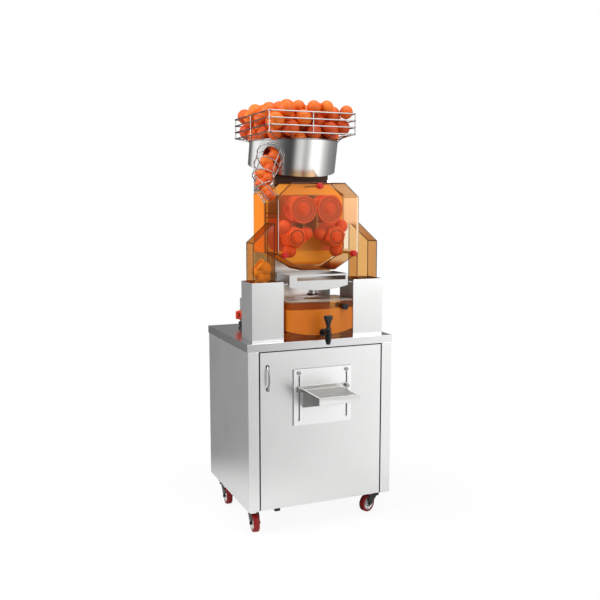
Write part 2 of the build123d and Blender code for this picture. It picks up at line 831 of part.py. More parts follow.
def cup_drum(x, z, phase):
    """Cylinder with three round cups in its rim and rings turned in its front."""
    drum = along_y(x, drum_y, z, 2 * drum_radius)
    for plane in rim_planes(x, z, phase):
        drum -= plane * Sphere(cup_radius)
    wide, deep = groove
    groove_y = (drum_y[0], drum_y[0] + deep)
    for radius in ring_grooves:
        drum -= along_y(x, groove_y, z, 2 * radius + wide) - along_y(x, groove_y, z, 2 * radius - wide)
    return drum - along_y(x, drum_y, z, shaft_dia)


def ball_drum(x, z, phase):
    """Six-sided core, and on three of its flats the balls that press into the cups above."""
    corner = core_flat / math.cos(math.radians(30.0))
    core = front_face([turned(phase + 30.0 + 60.0 * number, corner, x, z) for number in range(6)], drum_y)
    core = chamfer(core.edges().group_by(Axis.Y)[0], core_edge)
    foot = -math.degrees(math.asin((pitch_radius - core_flat) / ball_radius))
    balls = [plane * Sphere(ball_radius, arc_size1=foot, align=None) for plane in rim_planes(x, z, phase)]
    return [core - along_y(x, drum_y, z, shaft_dia), *balls]


teeth = round(2 * pitch_radius / gear_module)
tooth_pitch = 360.0 / teeth


def gear(x, z, turn):
    """Spur gear with straight-sided stub teeth, one tooth centred on the turn angle."""
    play = math.degrees(gear_play / pitch_radius)
    tip_radius = pitch_radius + 0.8 * gear_module
    root_radius = pitch_radius - 1.1 * gear_module
    points = []
    for number in range(teeth):
        middle_angle = turn + number * tooth_pitch
        for radius, share, side in (
            (root_radius, 0.37, -1), (tip_radius, 0.15, -1), (tip_radius, 0.15, 1), (root_radius, 0.37, 1)
        ):
            points.append(turned(middle_angle + side * (share * tooth_pitch - play / 2), radius, x, z))
    return front_face(points, gear_y)


def meshed(driver, driven, turn):
    """Turn angle of a driven gear whose gaps meet the driver's teeth."""
    line = math.degrees(math.atan2(driven[1] - driver[1], driven[0] - driver[0]))
    return line + 180 + (line - turn) % tooth_pitch - tooth_pitch / 2


gear_turns = {"upper_left": 0.0}
gear_train = (("upper_left", "upper_right"), ("upper_left", "lower_left"), ("upper_right", "lower_right"))
for driver, driven in gear_train:
    gear_turns[driven] = meshed(shaft_spots[driver], shaft_spots[driven], gear_turns[driver])


def gear_shaft(name):
    """Shaft with its collar, gear and front cap nut; the upper right one runs back into the motor."""
    x, z = shaft_spots[name]
    back = body_y[0] + sheet + 16.0 if name == "upper_right" else body_y[0] - 3.0
    nut_dia, nut_length = nose_nut
    shaft = along_y(x, (drum_y[0] - nut_length / 2, back), z, shaft_dia)
    collar = along_y(x, (drum_y[1], back_y[0] - 4.5), z, collar_dia)
    cap = along_y(x, (drum_y[0] - nut_length, drum_y[0]), z, nut_dia)
    return fuse([shaft, collar, cap, gear(x, z, gear_turns[name])])


down_line = math.degrees(math.atan2(lower_z - upper_z, pitch_radius - lower_x))
cup_phase = 2 * down_line + 180 - ball_phase


def knife():
    """Blade in the middle plane, screwed to the back plate by a foot."""
    half = knife_thick / 2
    foot_half, foot_thick = knife_foot
    low, high = knife_z
    step = high - knife_step
    back = back_y[0] - foot_thick
    near, far_end = drum_y
    outline = [(near, low), (back, low), (back, step), (far_end + 6.0, step), (far_end, high), (near, high)]
    foot = block((-foot_half, foot_half), (back, back_y[0]), (low, step))
    return fuse([side_face(outline, (-half, half)), foot])


def octagon(shrink):
    """Outline of the cover, stepped in evenly by the wall."""
    foot, low, high, top = cover_z
    upper = math.atan2(top - high, cover_half - cover_top_half)
    under = math.atan2(low - foot, cover_half - cover_foot_half)
    top_half_in = cover_top_half - shrink * math.tan(upper / 2)
    foot_half_in = cover_foot_half - shrink * math.tan(under / 2)
    side_up = shrink * math.tan((math.pi / 2 - upper) / 2)
    side_down = shrink * math.tan((math.pi / 2 - under) / 2)
    side = cover_half - shrink
    lower = [(foot_half_in, foot + shrink), (side, low + side_down)]
    right = lower + [(side, high - side_up), (top_half_in, top - shrink)]
    return right + [(-x, z) for x, z in reversed(right)]


def front_cover():
    shell = front_face(octagon(0), cover_y)
    inside = (cover_y[0] + acrylic, cover_y[1])
    shell -= front_face(octagon(acrylic), inside)
    deep = (inside[0] + 10.0, inside[1])
    foot_x = cover_foot_half - 10.0
    foot = block((-foot_x, foot_x), inside, (cover_z[0], cover_z[0] + acrylic))
    feed = block((-cover_half, 3.0 - cover_top_half), deep, (cover_z[2] - 22.0, cover_z[3]))
    window = block((cover_half - 20.0, cover_half), deep, window_z)
    shell = shell - foot - feed - twin(window)
    for x, z in knob_spots.values():
        shell -= along_y(x, (cover_y[0], cover_y[0] + acrylic), z, stud_dia + 1.0)
    return shell


def cover_knob(x, z):
    y = (cover_y[0] - slide_gap - knob_length, cover_y[0] - slide_gap)
    knob = along_y(x, y, z, knob_dia)
    knob = fillet(knob.edges().group_by(Axis.Y)[0], 4.0)
    for number in range(8):
        grip_x, grip_z = turned(45.0 * number, knob_dia / 2 + 2.0, x, z)
        knob -= along_y(grip_x, (y[0], y[1] - 6.0), grip_z, 8.0)
    return knob - along_y(x, (y[1] - 18.5, y[1]), z, stud_dia + 2 * pin_gap)


def rear_shroud():
    """Amber guard round the gears, from the back plate to the sides of the body."""
    y = (back_y[1], shroud_back)
    low = cover_z[1] - 4.0
    half = shroud_half - acrylic
    outline = [
        (-shroud_half, low), (-shroud_half, shroud_side), (-body_half, shroud_top),
        (body_half, shroud_top), (shroud_half, shroud_side), (shroud_half, low),
    ]
    inside = [
        (-half, low), (-half, shroud_side - 2.5), (-body_half, shroud_top - acrylic),
        (body_half, shroud_top - acrylic), (half, shroud_side - 2.5), (half, low),
    ]
    shell = front_face(outline, y) - front_face(inside, (y[0], y[1] - acrylic))
    return shell - block((-body_half, body_half), (body_y[0], far), (0, far))


nodes["chamber_back_plate"] = chamber_back_plate()
nodes["shaft_bearings"] = [shaft_bearing(x, z) for x, z in shaft_spots.values()]
drum_phases = {
    "upper_left": (cup_drum, cup_phase),
    "upper_right": (cup_drum, 180 - cup_phase),
    "lower_left": (ball_drum, ball_phase),
    "lower_right": (ball_drum, 180 - ball_phase),
}
for name, (make_drum, phase) in drum_phases.items():
    nodes[f"{name}_drum"] = make_drum(*shaft_spots[name], phase)
    nodes[f"{name}_shaft"] = gear_shaft(name)
nodes["knife"] = knife()
nodes["front_cover"] = front_cover()
for place, (x, z) in knob_spots.items():
    nodes[f"cover_knob_{place}"] = cover_knob(x, z)
nodes["rear_shroud"] = rear_shroud()


# Orange feeder: a tilted drum, drawn on its own axis and cut level at the rim

tilt = math.radians(drum_tilt)
drum_plane = Plane(origin=drum_centre, x_dir=(1, 0, 0), z_dir=(0, -math.sin(tilt), math.cos(tilt)))
on_plane = (Align.CENTER, Align.CENTER, Align.MIN)


def tilted(radius, low, high):
    return drum_plane * Pos(0, 0, low) * Cylinder(radius, high - low, align=on_plane)


def feeder_drum():
    floor = 3.0
    tall = 2 * (rim_z - drum_centre[2])
    shell = tilted(drum_r, 0, tall) - tilted(drum_r - sheet, floor, tall)
    shell -= block((-far, far), (-far, far), (rim_z, 2 * far))
    shell -= tilted(12.0, 0, floor)
    aim = Vector(-math.sin(math.radians(outlet_turn)), -math.cos(math.radians(outlet_turn)), 0)
    axis_y = drum_centre[1] - (outlet_z - drum_centre[2]) * math.tan(tilt)
    start = Vector(0, axis_y, outlet_z) + aim * (drum_r / 2)
    return shell - rod(start, start + aim * drum_r, outlet_dia)


def feeder_disc():
    """Turning plate with notches that carry the oranges to the outlet, and its spindle."""
    low, high = disc_z
    plate = tilted(disc_radius, low, high)
    away = disc_radius - 30.0
    for number in range(disc_notches):
        notch_x, notch_y = turned(360.0 / disc_notches * number, away, 0, 0)
        notch = Cylinder(disc_notch, high - low, align=on_plane)
        plate -= drum_plane * Pos(notch_x, notch_y, low) * notch
    dome = drum_plane * Pos(0, 0, high) * Cone(52.0, 16.0, 26.0, align=on_plane)
    return fuse([plate, dome, tilted(spindle_r, spindle_low, low)])


def feeder_motor():
    thick = 6.0
    low = -seat_thick - thick
    flange = drum_plane * Pos(0, 0, low) * Box(motor_flange, motor_flange, thick, align=on_plane)
    case = tilted(motor_dia / 2, low - motor_length, low)
    return fuse([flange, case]) - tilted(spindle_r + pin_gap, spindle_low - 1.0, 0)


def drum_support():
    """Sloping plate under the drum on two cheeks that stand on the body, with an apron in front."""
    half_x, half_y = seat_half
    plate = Box(2 * half_x, 2 * half_y, seat_thick, align=on_plane)
    plate = drum_plane * Pos(0, -8.0, -seat_thick) * plate
    plate -= tilted(2 * spindle_r, -seat_thick, 0)
    drop = seat_thick / math.cos(tilt)
    front, back = seat_y
    rise = [drum_centre[2] + (y - drum_centre[1]) * math.tan(tilt) - drop for y in seat_y]
    cheek = side_face([(front, body_z), (back, body_z), (back, rise[1]), (front, rise[0])], seat_cheek)
    apron = block((-apron_half, apron_half), apron_y, apron_z)
    return fuse([plate, *twin(cheek), apron])


nodes["feeder_drum"] = feeder_drum()
nodes["feeder_disc"] = feeder_disc()
nodes["feeder_motor"] = feeder_motor()
nodes["drum_support"] = drum_support()


# Wire basket on the rim of the drum

def basket():
    half_x, half_y = basket_half
    rim_y = drum_centre[1] - (rim_z - drum_centre[2]) * math.tan(tilt)
    corners = [(-half_x, -half_y), (half_x, -half_y), (half_x, half_y), (-half_x, half_y)]
    loops = []
    for z in basket_rings:
        outline = [(x, basket_y + y, z) for x, y in corners]
        loops.append(wire(outline, basket_corner, ring_wire, close=True))
    inset = basket_corner * (1 - math.sqrt(0.5))
    posts = [(math.copysign(half_x - inset, x), math.copysign(half_y - inset, y)) for x, y in corners]
    posts += [(0, -half_y), (0, half_y), (-half_x, 0), (half_x, 0)]
    low, high = basket_rings[0], basket_rings[-1]
    uprights = [rod((x, basket_y + y, low), (x, basket_y + y, high), cross_wire) for x, y in posts]
    starts = posts + [(x, y) for x in (-half_x / 2, half_x / 2) for y in (-half_y, half_y)]
    starts += [(x, y) for x in (-half_x, half_x) for y in (-half_y / 2, half_y / 2)]
    seat_z = rim_z + 0.5 + ring_wire / 2
    floor_wires = []
    for x, y in starts:
        away = math.hypot(x, basket_y + y - rim_y)
        foot = (x / away * floor_ring_r, rim_y + (basket_y + y - rim_y) / away * floor_ring_r, seat_z)
        floor_wires.append(rod(foot, (x, basket_y + y, low), cross_wire))
    seat = Pos(0, rim_y, seat_z) * Torus(floor_ring_r, ring_wire / 2)
    return fuse([seat, *loops, *uprights, *floor_wires])


# Wire run that leads the oranges from the outlet down into the chamber

def chute_wires():
    points = [Vector(*point) for point in run_points]
    frames = []
    for number, point in enumerate(points):
        ahead = points[min(number + 1, len(points) - 1)] - points[max(number - 1, 0)]
        side = Vector(0, 0, 1).cross(ahead).normalized()
        frames.append((point, side, ahead.cross(side).normalized()))
    lines = []
    for angle in run_angles:
        line = []
        for (point, side, up), radius in zip(frames, run_radii):
            across, over = turned(angle, radius, 0, 0)
            line.append(point + side * across + up * over)
        lines.append(line)
    rails = [wire(line, 18.0, run_rail) for line in lines]
    hoops = []
    for (point, side, up), radius in list(zip(frames, run_radii))[1:-1]:
        ring = [turned(30.0 * number, radius + 3.8, 0, 0) for number in range(12)]
        hoops.append(wire([point + side * x + up * z for x, z in ring], 14.0, run_hoop, close=True))
    foot = (run_foot[0], back_y[0], run_foot[1])
    strut = rod(foot, lines[run_angles.index(25.0)][-1], ring_wire)
    run = fuse([*hoops, *rails, strut])
    behind = block((-far, far), (back_y[0], back_y[1] + 20.0), (0, upper_z + drum_radius))
    return run - tilted(drum_r, 0, far / 5) - behind


nodes["basket"] = basket()
nodes["chute_wires"] = chute_wires()


# Control box, main switch and mains inlet

def control_box():
    shell = block(control_x, control_y, (top_z, control_z))
    inner_y = (control_y[0] + sheet, control_y[1] - sheet)
    inner = block((control_x[0] + sheet, control_x[1] - sheet), inner_y, (top_z, control_z - sheet))
    return shell - inner - along_x((control_x[0], control_x[0] + sheet), switch_y, switch_z, switch_stem)


def switch_base():
    face = control_x[0]
    plate = along_x((face - switch_plate, face), switch_y, switch_z, switch_dia)
    return plate - along_x((face - switch_plate, face), switch_y, switch_z, switch_stem)


def main_switch():
    face = control_x[0] - switch_plate - slide_gap
    dial_face = face - dial[1]
    wide, tall, deep = dial_grip
    grip_y = (switch_y - wide / 2, switch_y + wide / 2)
    grip = block((dial_face - deep, dial_face), grip_y, (switch_z - tall / 2, switch_z + tall / 2))
    disc = along_x((dial_face, face), switch_y, switch_z, dial[0])
    spindle = along_x((face, face + 3 * switch_plate), switch_y, switch_z, switch_stem - 2 * pin_gap)
    return fuse([disc, grip, spindle])


def power_inlet():
    face = control_x[0]

    def plug(size, outer, inner):
        half_y, half_z = size[:2]
        y = (inlet_y - half_y, inlet_y + half_y)
        return block((outer, inner), y, (inlet_z - half_z, inlet_z + half_z))

    front = face - inlet_rim[2]
    flange = plug(inlet_flange, face - inlet_flange[2], face)
    rim = plug(inlet_rim, front, face)
    socket = plug(inlet_socket, front, front + inlet_socket[2])
    return fuse([flange, rim]) - socket


nodes["control_box"] = control_box()
nodes["switch_base"] = switch_base()
nodes["main_switch"] = main_switch()
nodes["power_inlet"] = power_inlet()


# The finished frame has its origin on the floor, below the middle of the whole machine.
os.makedirs("parts", exist_ok=True)
for name, shape in nodes.items():
    solids = [Pos(0, front_y, 0) * solid for solid in (shape if isinstance(shape, list) else [shape])]
    group = solids[0] if len(solids) == 1 else Compound(children=solids)
    export_step(group, f"parts/{name}.step")
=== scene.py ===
import json
import math

import bmesh
import bpy
import numpy as np
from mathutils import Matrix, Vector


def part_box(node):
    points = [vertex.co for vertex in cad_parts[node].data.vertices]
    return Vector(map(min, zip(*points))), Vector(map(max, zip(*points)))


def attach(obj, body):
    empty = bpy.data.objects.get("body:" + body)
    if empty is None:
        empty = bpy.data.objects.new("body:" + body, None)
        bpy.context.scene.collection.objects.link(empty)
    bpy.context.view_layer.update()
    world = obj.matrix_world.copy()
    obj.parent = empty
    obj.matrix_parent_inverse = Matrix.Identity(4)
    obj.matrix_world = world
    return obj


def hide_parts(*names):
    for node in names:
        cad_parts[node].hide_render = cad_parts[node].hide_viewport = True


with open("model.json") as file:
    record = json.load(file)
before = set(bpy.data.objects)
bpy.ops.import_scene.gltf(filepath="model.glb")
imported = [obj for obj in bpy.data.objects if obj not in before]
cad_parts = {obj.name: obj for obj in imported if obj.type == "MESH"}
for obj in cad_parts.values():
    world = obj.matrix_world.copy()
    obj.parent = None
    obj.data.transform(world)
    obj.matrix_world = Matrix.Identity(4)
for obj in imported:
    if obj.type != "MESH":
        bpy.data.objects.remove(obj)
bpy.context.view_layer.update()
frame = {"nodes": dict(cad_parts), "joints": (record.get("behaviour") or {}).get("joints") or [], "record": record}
nodes = frame["nodes"]
record = frame["record"]
scene = bpy.context.scene
bodyOf = {node: body for body, members in record["behaviour"]["bodies"].items() for node in members}
joints = {joint["name"]: joint for joint in frame["joints"]}
drumNames = ("upper_left", "upper_right", "lower_left", "lower_right")
casterNames = ("fl", "fr", "rl", "rr")
print("frame loaded:", len(nodes), "nodes")


# Shader tools

def plug(tree, socket, value):
    if isinstance(value, Sock):
        tree.links.new(value.socket, socket)
    elif isinstance(value, tuple) and len(value) == 3 and socket.type == "RGBA":
        socket.default_value = (*value, 1.0)
    else:
        socket.default_value = value


class Sock:  # a socket that joins in Python arithmetic, one Math node for each operation
    def __init__(self, tree, socket):
        self.tree = tree
        self.socket = socket

    def math(self, operation, first, second=0.0):
        item = self.tree.nodes.new("ShaderNodeMath")
        item.operation = operation
        plug(self.tree, item.inputs[0], first)
        plug(self.tree, item.inputs[1], second)
        return Sock(self.tree, item.outputs[0])

    def __add__(self, other):
        return self.math("ADD", self, other)

    def __sub__(self, other):
        return self.math("SUBTRACT", self, other)

    def __rsub__(self, other):
        return self.math("SUBTRACT", other, self)

    def __mul__(self, other):
        return self.math("MULTIPLY", self, other)

    def __truediv__(self, other):
        return self.math("DIVIDE", self, other)

    def __pow__(self, other):
        return self.math("POWER", self, other)

    __radd__ = __add__
    __rmul__ = __mul__


def shade(color, factor):
    return tuple(min(1.0, part * factor) for part in color)


class Finish:  # a material or world tree; node() takes the type, the settings and then the sockets
    def __init__(self, name, owner=None):
        self.owner = owner or bpy.data.materials.new(name)
        self.owner.use_nodes = True
        self.tree = self.owner.node_tree
        self.tree.nodes.clear()

    def node(self, kind, settings=None, sockets=None, out=0):
        item = self.tree.nodes.new("ShaderNode" + kind)
        for key, value in (settings or {}).items():
            if key == "stops":
                ramp = item.color_ramp.elements
                for place, (position, level) in enumerate(value):
                    stop = ramp[place] if place < 2 else ramp.new(position)
                    stop.position = position
                    stop.color = (level, level, level, 1.0)
            else:
                setattr(item, key, value)
        for key, value in (sockets or {}).items():
            plug(self.tree, item.inputs[key], value)
        return Sock(self.tree, item.outputs[out]) if item.outputs else None

    def spot(self):
        return self.node("TexCoord", out="Object")

    def along(self, axis):  # the place on the piece, along X, Y or Z
        return self.node("SeparateXYZ", None, {0: self.spot()}, out=axis)

    def fade(self, value, start, end, settings=None):  # nought at the start, one at the end
        return self.node("MapRange", settings, {"Value": value, "From Min": start, "From Max": end})

    def noise(self, scale, detail=3.0, vector=None):
        where = vector or self.spot()
        return self.node("TexNoise", None, {"Vector": where, "Scale": scale, "Detail": detail})

    def stretched(self, scale):  # noise drawn out along the axis with the small scale
        turned = self.node("Mapping", None, {"Vector": self.spot(), "Scale": scale})
        return self.noise(1.0, vector=turned)

    def blend(self, share, first, second):
        return self.node("Mix", {"data_type": "RGBA"}, {0: share, 6: first, 7: second}, out=2)

    def spread(self, share, tone, darker, lighter):  # from a darker to a lighter shade of one tone
        return self.blend(share, shade(tone, darker), shade(tone, lighter))

    def bump(self, height, depth, strength):
        return self.node("Bump", None, {"Height": height, "Distance": depth, "Strength": strength})

    def close(self, shader):
        self.node("OutputMaterial", None, {"Surface": shader})
        return self.owner


# Finishes

steelSpread = {"grain": 0.7, "haze": 0.3, "darker": 0.95, "lighter": 1.05, "bump": 0.25, "shine": 0.5,
               "roughGrain": 0.10, "roughHaze": 0.04, "paintedShadeEdge": 0.0005}
plasticSpread = {"darker": 0.82, "lighter": 1.12, "rough": 0.12, "bump": 0.5}
amberSpread = {"darker": 0.9, "lighter": 1.08, "body": 0.02, "rough": 0.04, "bodyRough": 0.5}


def brushedSteel(name, values):
    # long streaks and a soft haze shift tone and roughness, and the streaks raise fine lines
    s = steelSpread
    f = Finish(name)
    grain = f.stretched(values["grain"])
    haze = f.noise(values["haze"])
    color = f.spread(grain * s["grain"] + haze * s["haze"], values["tone"], s["darker"], s["lighter"])
    rough = values["rough"] + (grain - 0.5) * s["roughGrain"] + (haze - 0.5) * s["roughHaze"]
    metal = 1.0
    if "apron" in values:  # painted shade: dark and not metal in front of this depth, for the shade under the drum
        paint = f.fade(f.along("Y"), values["apron"] + s["paintedShadeEdge"], values["apron"])
        color = f.blend(paint, color, values["paint"])
        metal = 1 - paint
    return f.close(f.node("BsdfPrincipled", None, {
        "Base Color": color, "Metallic": metal, "Roughness": rough,
        "Specular IOR Level": values.get("shine", s["shine"]),
        "Normal": f.bump(grain, values["depth"], s["bump"]),
    }))


def chromeWire(name, values):
    f = Finish(name)
    haze = f.noise(values["haze"], detail=2.0)
    return f.close(f.node("BsdfPrincipled", None, {
        "Base Color": f.spread(haze, values["tone"], values["darker"], 1.0), "Metallic": 1.0,
        "Roughness": values["rough"] + (haze - 0.5) * values["roughHaze"],
    }))


def mouldedPlastic(name, values):
    # large clouds shift tone and roughness, and small pebbles raise the surface
    s = plasticSpread
    f = Finish(name)
    cloud = f.noise(values["cloud"])
    pebble = f.noise(values["pebble"], detail=2.0)
    return f.close(f.node("BsdfPrincipled", None, {
        "Base Color": f.spread(cloud, values["tone"], s["darker"], s["lighter"]),
        "Roughness": values["rough"] + (cloud - 0.5) * s["rough"],
        "Specular IOR Level": values["shine"], "Normal": f.bump(pebble, values["depth"], s["bump"]),
    }))


def pressPlate(name, values):
    # an orange panel with rounded corners; a strip behind the knife, bare steel darkened with painted shade
    # between the drums; painted shade on the upper left; amber all round that glows as painted light
    f = Finish(name)
    x, z = f.along("X"), f.along("Z")
    aside = x.math("ABSOLUTE", x)
    above = x.math("ABSOLUTE", z - values["middle"])
    corner = values["corner"]
    pastX = x.math("MAXIMUM", aside - (values["halfWide"] - corner), 0.0)
    pastZ = x.math("MAXIMUM", above - (values["halfHigh"] - corner), 0.0)
    away = (pastX ** 2.0 + pastZ ** 2.0) ** 0.5
    panel = f.fade(away, corner, corner - values["soft"])
    strip = f.fade(aside, *values["strip"])
    wedge = f.fade(z, *values["wedgeLow"]) * f.fade(aside, *values["wedgeWide"])
    # painted shade: the upper left of the panel is darkened
    dim = f.fade(x, *values["dimLeft"]) * f.fade(z, *values["dimHigh"])
    stud = f.fade(f.along("Y"), *values["studDeep"])
    cloud = f.noise(values["cloud"])
    orange = f.spread(cloud, values["orange"], values["darker"], values["lighter"])
    amber = f.spread(cloud, values["amber"], values["darker"], values["lighter"])
    # the strip behind the knife: bare steel, darkened with painted shade between the drums
    middle = f.blend(strip, orange, values["bare"])
    inside = f.blend(dim, f.blend(wedge, middle, amber), values["dim"])
    sheet = f.blend(panel, amber, inside)
    return f.close(f.node("BsdfPrincipled", None, {
        "Base Color": f.blend(stud, sheet, values["stud"]),
        "Roughness": values["rough"] + (cloud - 0.5) * values["roughCloud"],
        # painted light: the amber all round the panel glows
        "Emission Color": f.blend(panel, amber, (0.0, 0.0, 0.0)), "Emission Strength": values["glow"],
    }))


def amberSheet(name, values):
    # a clear tint, deeper where the sheet is seen edge-on, with a share of dense body, a little gloss and, where
    # glow is above nought, a painted glow
    s = amberSpread
    f = Finish(name)
    haze = f.noise(values["haze"], detail=2.0)
    edgeOn = f.node("LayerWeight", None, {"Blend": 0.5}, out="Facing") ** values["edge"]
    x, z = f.along("X"), f.along("Z")
    tone = f.spread(haze, values["tone"], s["darker"], s["lighter"])
    # painted light: the glow of a sheet, in its own tone
    lit = values["tone"]
    share = values["body"] + (haze - 0.5) * s["body"]
    if "sill" in values:  # deeper towards the foot, where several walls meet
        edgeOn = x.math("MAXIMUM", edgeOn, f.fade(z, *values["sill"]))
    if "pale" in values:  # painted sheen: the right wall is paled by a reflection painted into its tone, share and glow
        pale = values["pale"]
        paintedSheenMask = f.fade(x, *pale["wall"])
        tone = f.blend(paintedSheenMask, tone, pale["tone"])
        lit = f.blend(paintedSheenMask, (0.0, 0.0, 0.0), pale["tone"])
        share = share + paintedSheenMask * pale["share"]
    if "juice" in values:  # fuller between the curved tank floor and the juice level
        juice = values["juice"]
        over = f.fade(z - juice["rise"] * (x / juice["half"]) ** 2.0, *juice["floor"])
        under = f.fade(z, *juice["level"])
        share = share + over * under * juice["share"] * (1 - edgeOn)
    thin = f.node("BsdfTransparent", None, {"Color": values["tint"]})
    thick = f.node("BsdfTransparent", None, {"Color": values["deep"]})
    clear = f.node("MixShader", None, {0: edgeOn, 1: thin, 2: thick})
    dense = f.node("BsdfPrincipled", None, {
        "Base Color": tone, "Roughness": s["bodyRough"], "Specular IOR Level": 0.0,
        "Emission Color": lit, "Emission Strength": values["glow"],
    })
    mirror = f.node("BsdfPrincipled", None, {
        "Base Color": (1.0, 1.0, 1.0), "Metallic": 1.0,
        "Roughness": values["rough"] + (haze - 0.5) * s["rough"],
    })
    wall = f.node("MixShader", None, {0: share, 1: clear, 2: dense})
    return f.close(f.node("MixShader", None, {0: values["gloss"], 1: wall, 2: mirror}))


def orangePeel(name, values):
    # each fruit's own ripeness and a cloud mix two oranges, with dark pores and a green-brown stalk end
    f = Finish(name)
    ripe = f.node("Attribute", {"attribute_name": "ripe"}, out="Fac")
    stalk = f.node("Attribute", {"attribute_name": "stalk"}, out="Fac")
    cloud = f.noise(values["cloud"])
    pores = f.node("TexVoronoi", {"feature": "F1"}, {"Vector": f.spot(), "Scale": values["pores"]})
    skin = f.blend(ripe * values["ripeShare"] + cloud * values["cloudShare"], values["deep"], values["light"])
    dots = (1 - pores) ** values["poreEdge"] * values["poreShare"]
    freckles = f.blend(dots, skin, shade(values["deep"], values["poreDark"]))
    return f.close(f.node("BsdfPrincipled", None, {
        "Base Color": f.blend(stalk, freckles, values["stalk"]),
        "Roughness": values["rough"] + (cloud - 0.5) * values["roughCloud"],
        "Specular IOR Level": values["shine"], "Normal": f.bump(pores, values["depth"], values["bump"]),
    }))


def table(keys, rows):
    # named values for each row
    return {name: dict(zip(keys, row)) for name, row in rows.items()}


uprightGrain = (700.0, 700.0, 9.0)
sheetGrain = (14.0, 500.0, 500.0)
evenGrain = (90.0, 90.0, 90.0)
turnedGrain = (60.0, 900.0, 60.0)
steelLooks = table(("tone", "rough", "grain", "haze", "depth"), {
    "satinUpright": ((0.74, 0.74, 0.735), 0.30, uprightGrain, 7.0, 0.0003),
    "satinLevel": ((0.70, 0.70, 0.71), 0.17, (9.0, 700.0, 700.0), 7.0, 0.0002),
    "drumSteel": ((0.80, 0.80, 0.79), 0.19, (20.0, 20.0, 900.0), 9.0, 0.0002),
    "brightSteel": ((0.60, 0.60, 0.59), 0.26, sheetGrain, 12.0, 0.0002),
    "boxSteel": ((0.66, 0.66, 0.655), 0.30, uprightGrain, 7.0, 0.0003),
    "sieveSteel": ((0.50, 0.50, 0.495), 0.36, sheetGrain, 12.0, 0.0002),
    "runSteel": ((0.34, 0.34, 0.35), 0.22, evenGrain, 40.0, 0.0001),
    "supportSteel": ((0.62, 0.62, 0.615), 0.30, uprightGrain, 7.0, 0.0002),
    "shelfSteel": ((0.84, 0.84, 0.84), 0.42, sheetGrain, 12.0, 0.0002),
    "gridSteel": ((0.50, 0.49, 0.47), 0.34, sheetGrain, 12.0, 0.0002),
    "zincGrey": ((0.34, 0.34, 0.34), 0.36, evenGrain, 25.0, 0.0002),
    "turnedSteel": ((0.58, 0.58, 0.58), 0.28, turnedGrain, 25.0, 0.0002),
    "bronze": ((0.72, 0.46, 0.15), 0.32, turnedGrain, 25.0, 0.0002),
    "hubSteel": ((0.62, 0.62, 0.60), 0.34, (300.0, 300.0, 300.0), 40.0, 0.0002),
})
# the front of the drum support gets a painted shade under the drum
steelLooks["supportSteel"].update({"apron": 0.0386, "paint": (0.055, 0.022, 0.011), "shine": 0.1})
plasticLooks = table(("tone", "rough", "cloud", "pebble", "depth", "shine"), {
    "pressOrange": ((0.84, 0.085, 0.018), 0.40, 14.0, 420.0, 0.0004, 0.35),
    # a lighter copy of pressOrange for the lower drums: painted light against the shade they sit in
    "pressOrangePaintedLight": ((0.92, 0.095, 0.020), 0.40, 14.0, 420.0, 0.0004, 0.35),
    # dark rings of painted shade in the drum grooves
    "grooveRed": ((0.12, 0.008, 0.004), 0.55, 30.0, 420.0, 0.0003, 0.5),
    "knobRed": ((0.56, 0.012, 0.010), 0.34, 40.0, 700.0, 0.0003, 0.25),
    "switchRed": ((0.85, 0.07, 0.03), 0.30, 40.0, 700.0, 0.0003, 0.5),
    "guardGrey": ((0.17, 0.19, 0.17), 0.45, 40.0, 600.0, 0.0004, 0.5),
    "tapBlack": ((0.006, 0.006, 0.007), 0.27, 40.0, 900.0, 0.0002, 0.35),
    "motorBlack": ((0.03, 0.03, 0.032), 0.5, 30.0, 500.0, 0.0006, 0.5),
    "forkGrey": ((0.018, 0.018, 0.019), 0.45, 40.0, 600.0, 0.0005, 0.3),
    "peelGold": ((0.98, 0.46, 0.030), 0.50, 30.0, 300.0, 0.0008, 0.5),
    "tyreRed": ((0.25, 0.006, 0.006), 0.42, 30.0, 500.0, 0.0006, 0.3),
    "binGrey": ((0.30, 0.31, 0.32), 0.55, 12.0, 300.0, 0.0007, 0.5),
    "ringBrown": ((0.06, 0.025, 0.012), 0.6, 60.0, 500.0, 0.0005, 0.5),
    # white for the dial marks, and for the painted highlight on the cover's edge
    "markWhite": ((0.80, 0.80, 0.78), 0.45, 60.0, 500.0, 0.0002, 0.5),
})
# glow is painted light: the shroud and the cover's painted sheen glow though no lamp is in them
amberLooks = table(("tint", "deep", "tone", "edge", "rough", "haze", "body", "gloss", "glow"), {
    "coverAmber": (
        (0.962, 0.885, 0.765), (0.60, 0.28, 0.07), (0.86, 0.36, 0.05), 4.0, 0.04, 6.0, 0.022, 0.004, 0.55),
    "chuteAmber": (
        (0.945, 0.815, 0.62), (0.56, 0.25, 0.06), (0.80, 0.36, 0.08), 2.2, 0.06, 8.0, 0.03, 0.010, 0.0),
    "shroudAmber": (
        (1.0, 0.77, 0.50), (0.90, 0.50, 0.16), (1.0, 0.37, 0.05), 4.0, 0.08, 6.0, 0.42, 0.008, 0.22),
    "tankAmber": (
        (0.96, 0.79, 0.50), (0.62, 0.28, 0.06), (1.0, 0.30, 0.03), 3.0, 0.05, 9.0, 0.05, 0.014, 0.0),
    "lidAmber": (
        (0.92, 0.82, 0.68), (0.84, 0.68, 0.50), (0.84, 0.72, 0.60), 3.0, 0.06, 9.0, 0.36, 0.26, 0.0),
    "cutEdge": (
        (0.55, 0.28, 0.08), (0.40, 0.18, 0.05), (0.17, 0.055, 0.010), 3.0, 0.12, 30.0, 0.70, 0.05, 0.0),
    "gluedSeam": (
        (0.45, 0.20, 0.06), (0.30, 0.12, 0.03), (0.16, 0.050, 0.010), 3.0, 0.14, 30.0, 0.80, 0.04, 0.0),
})
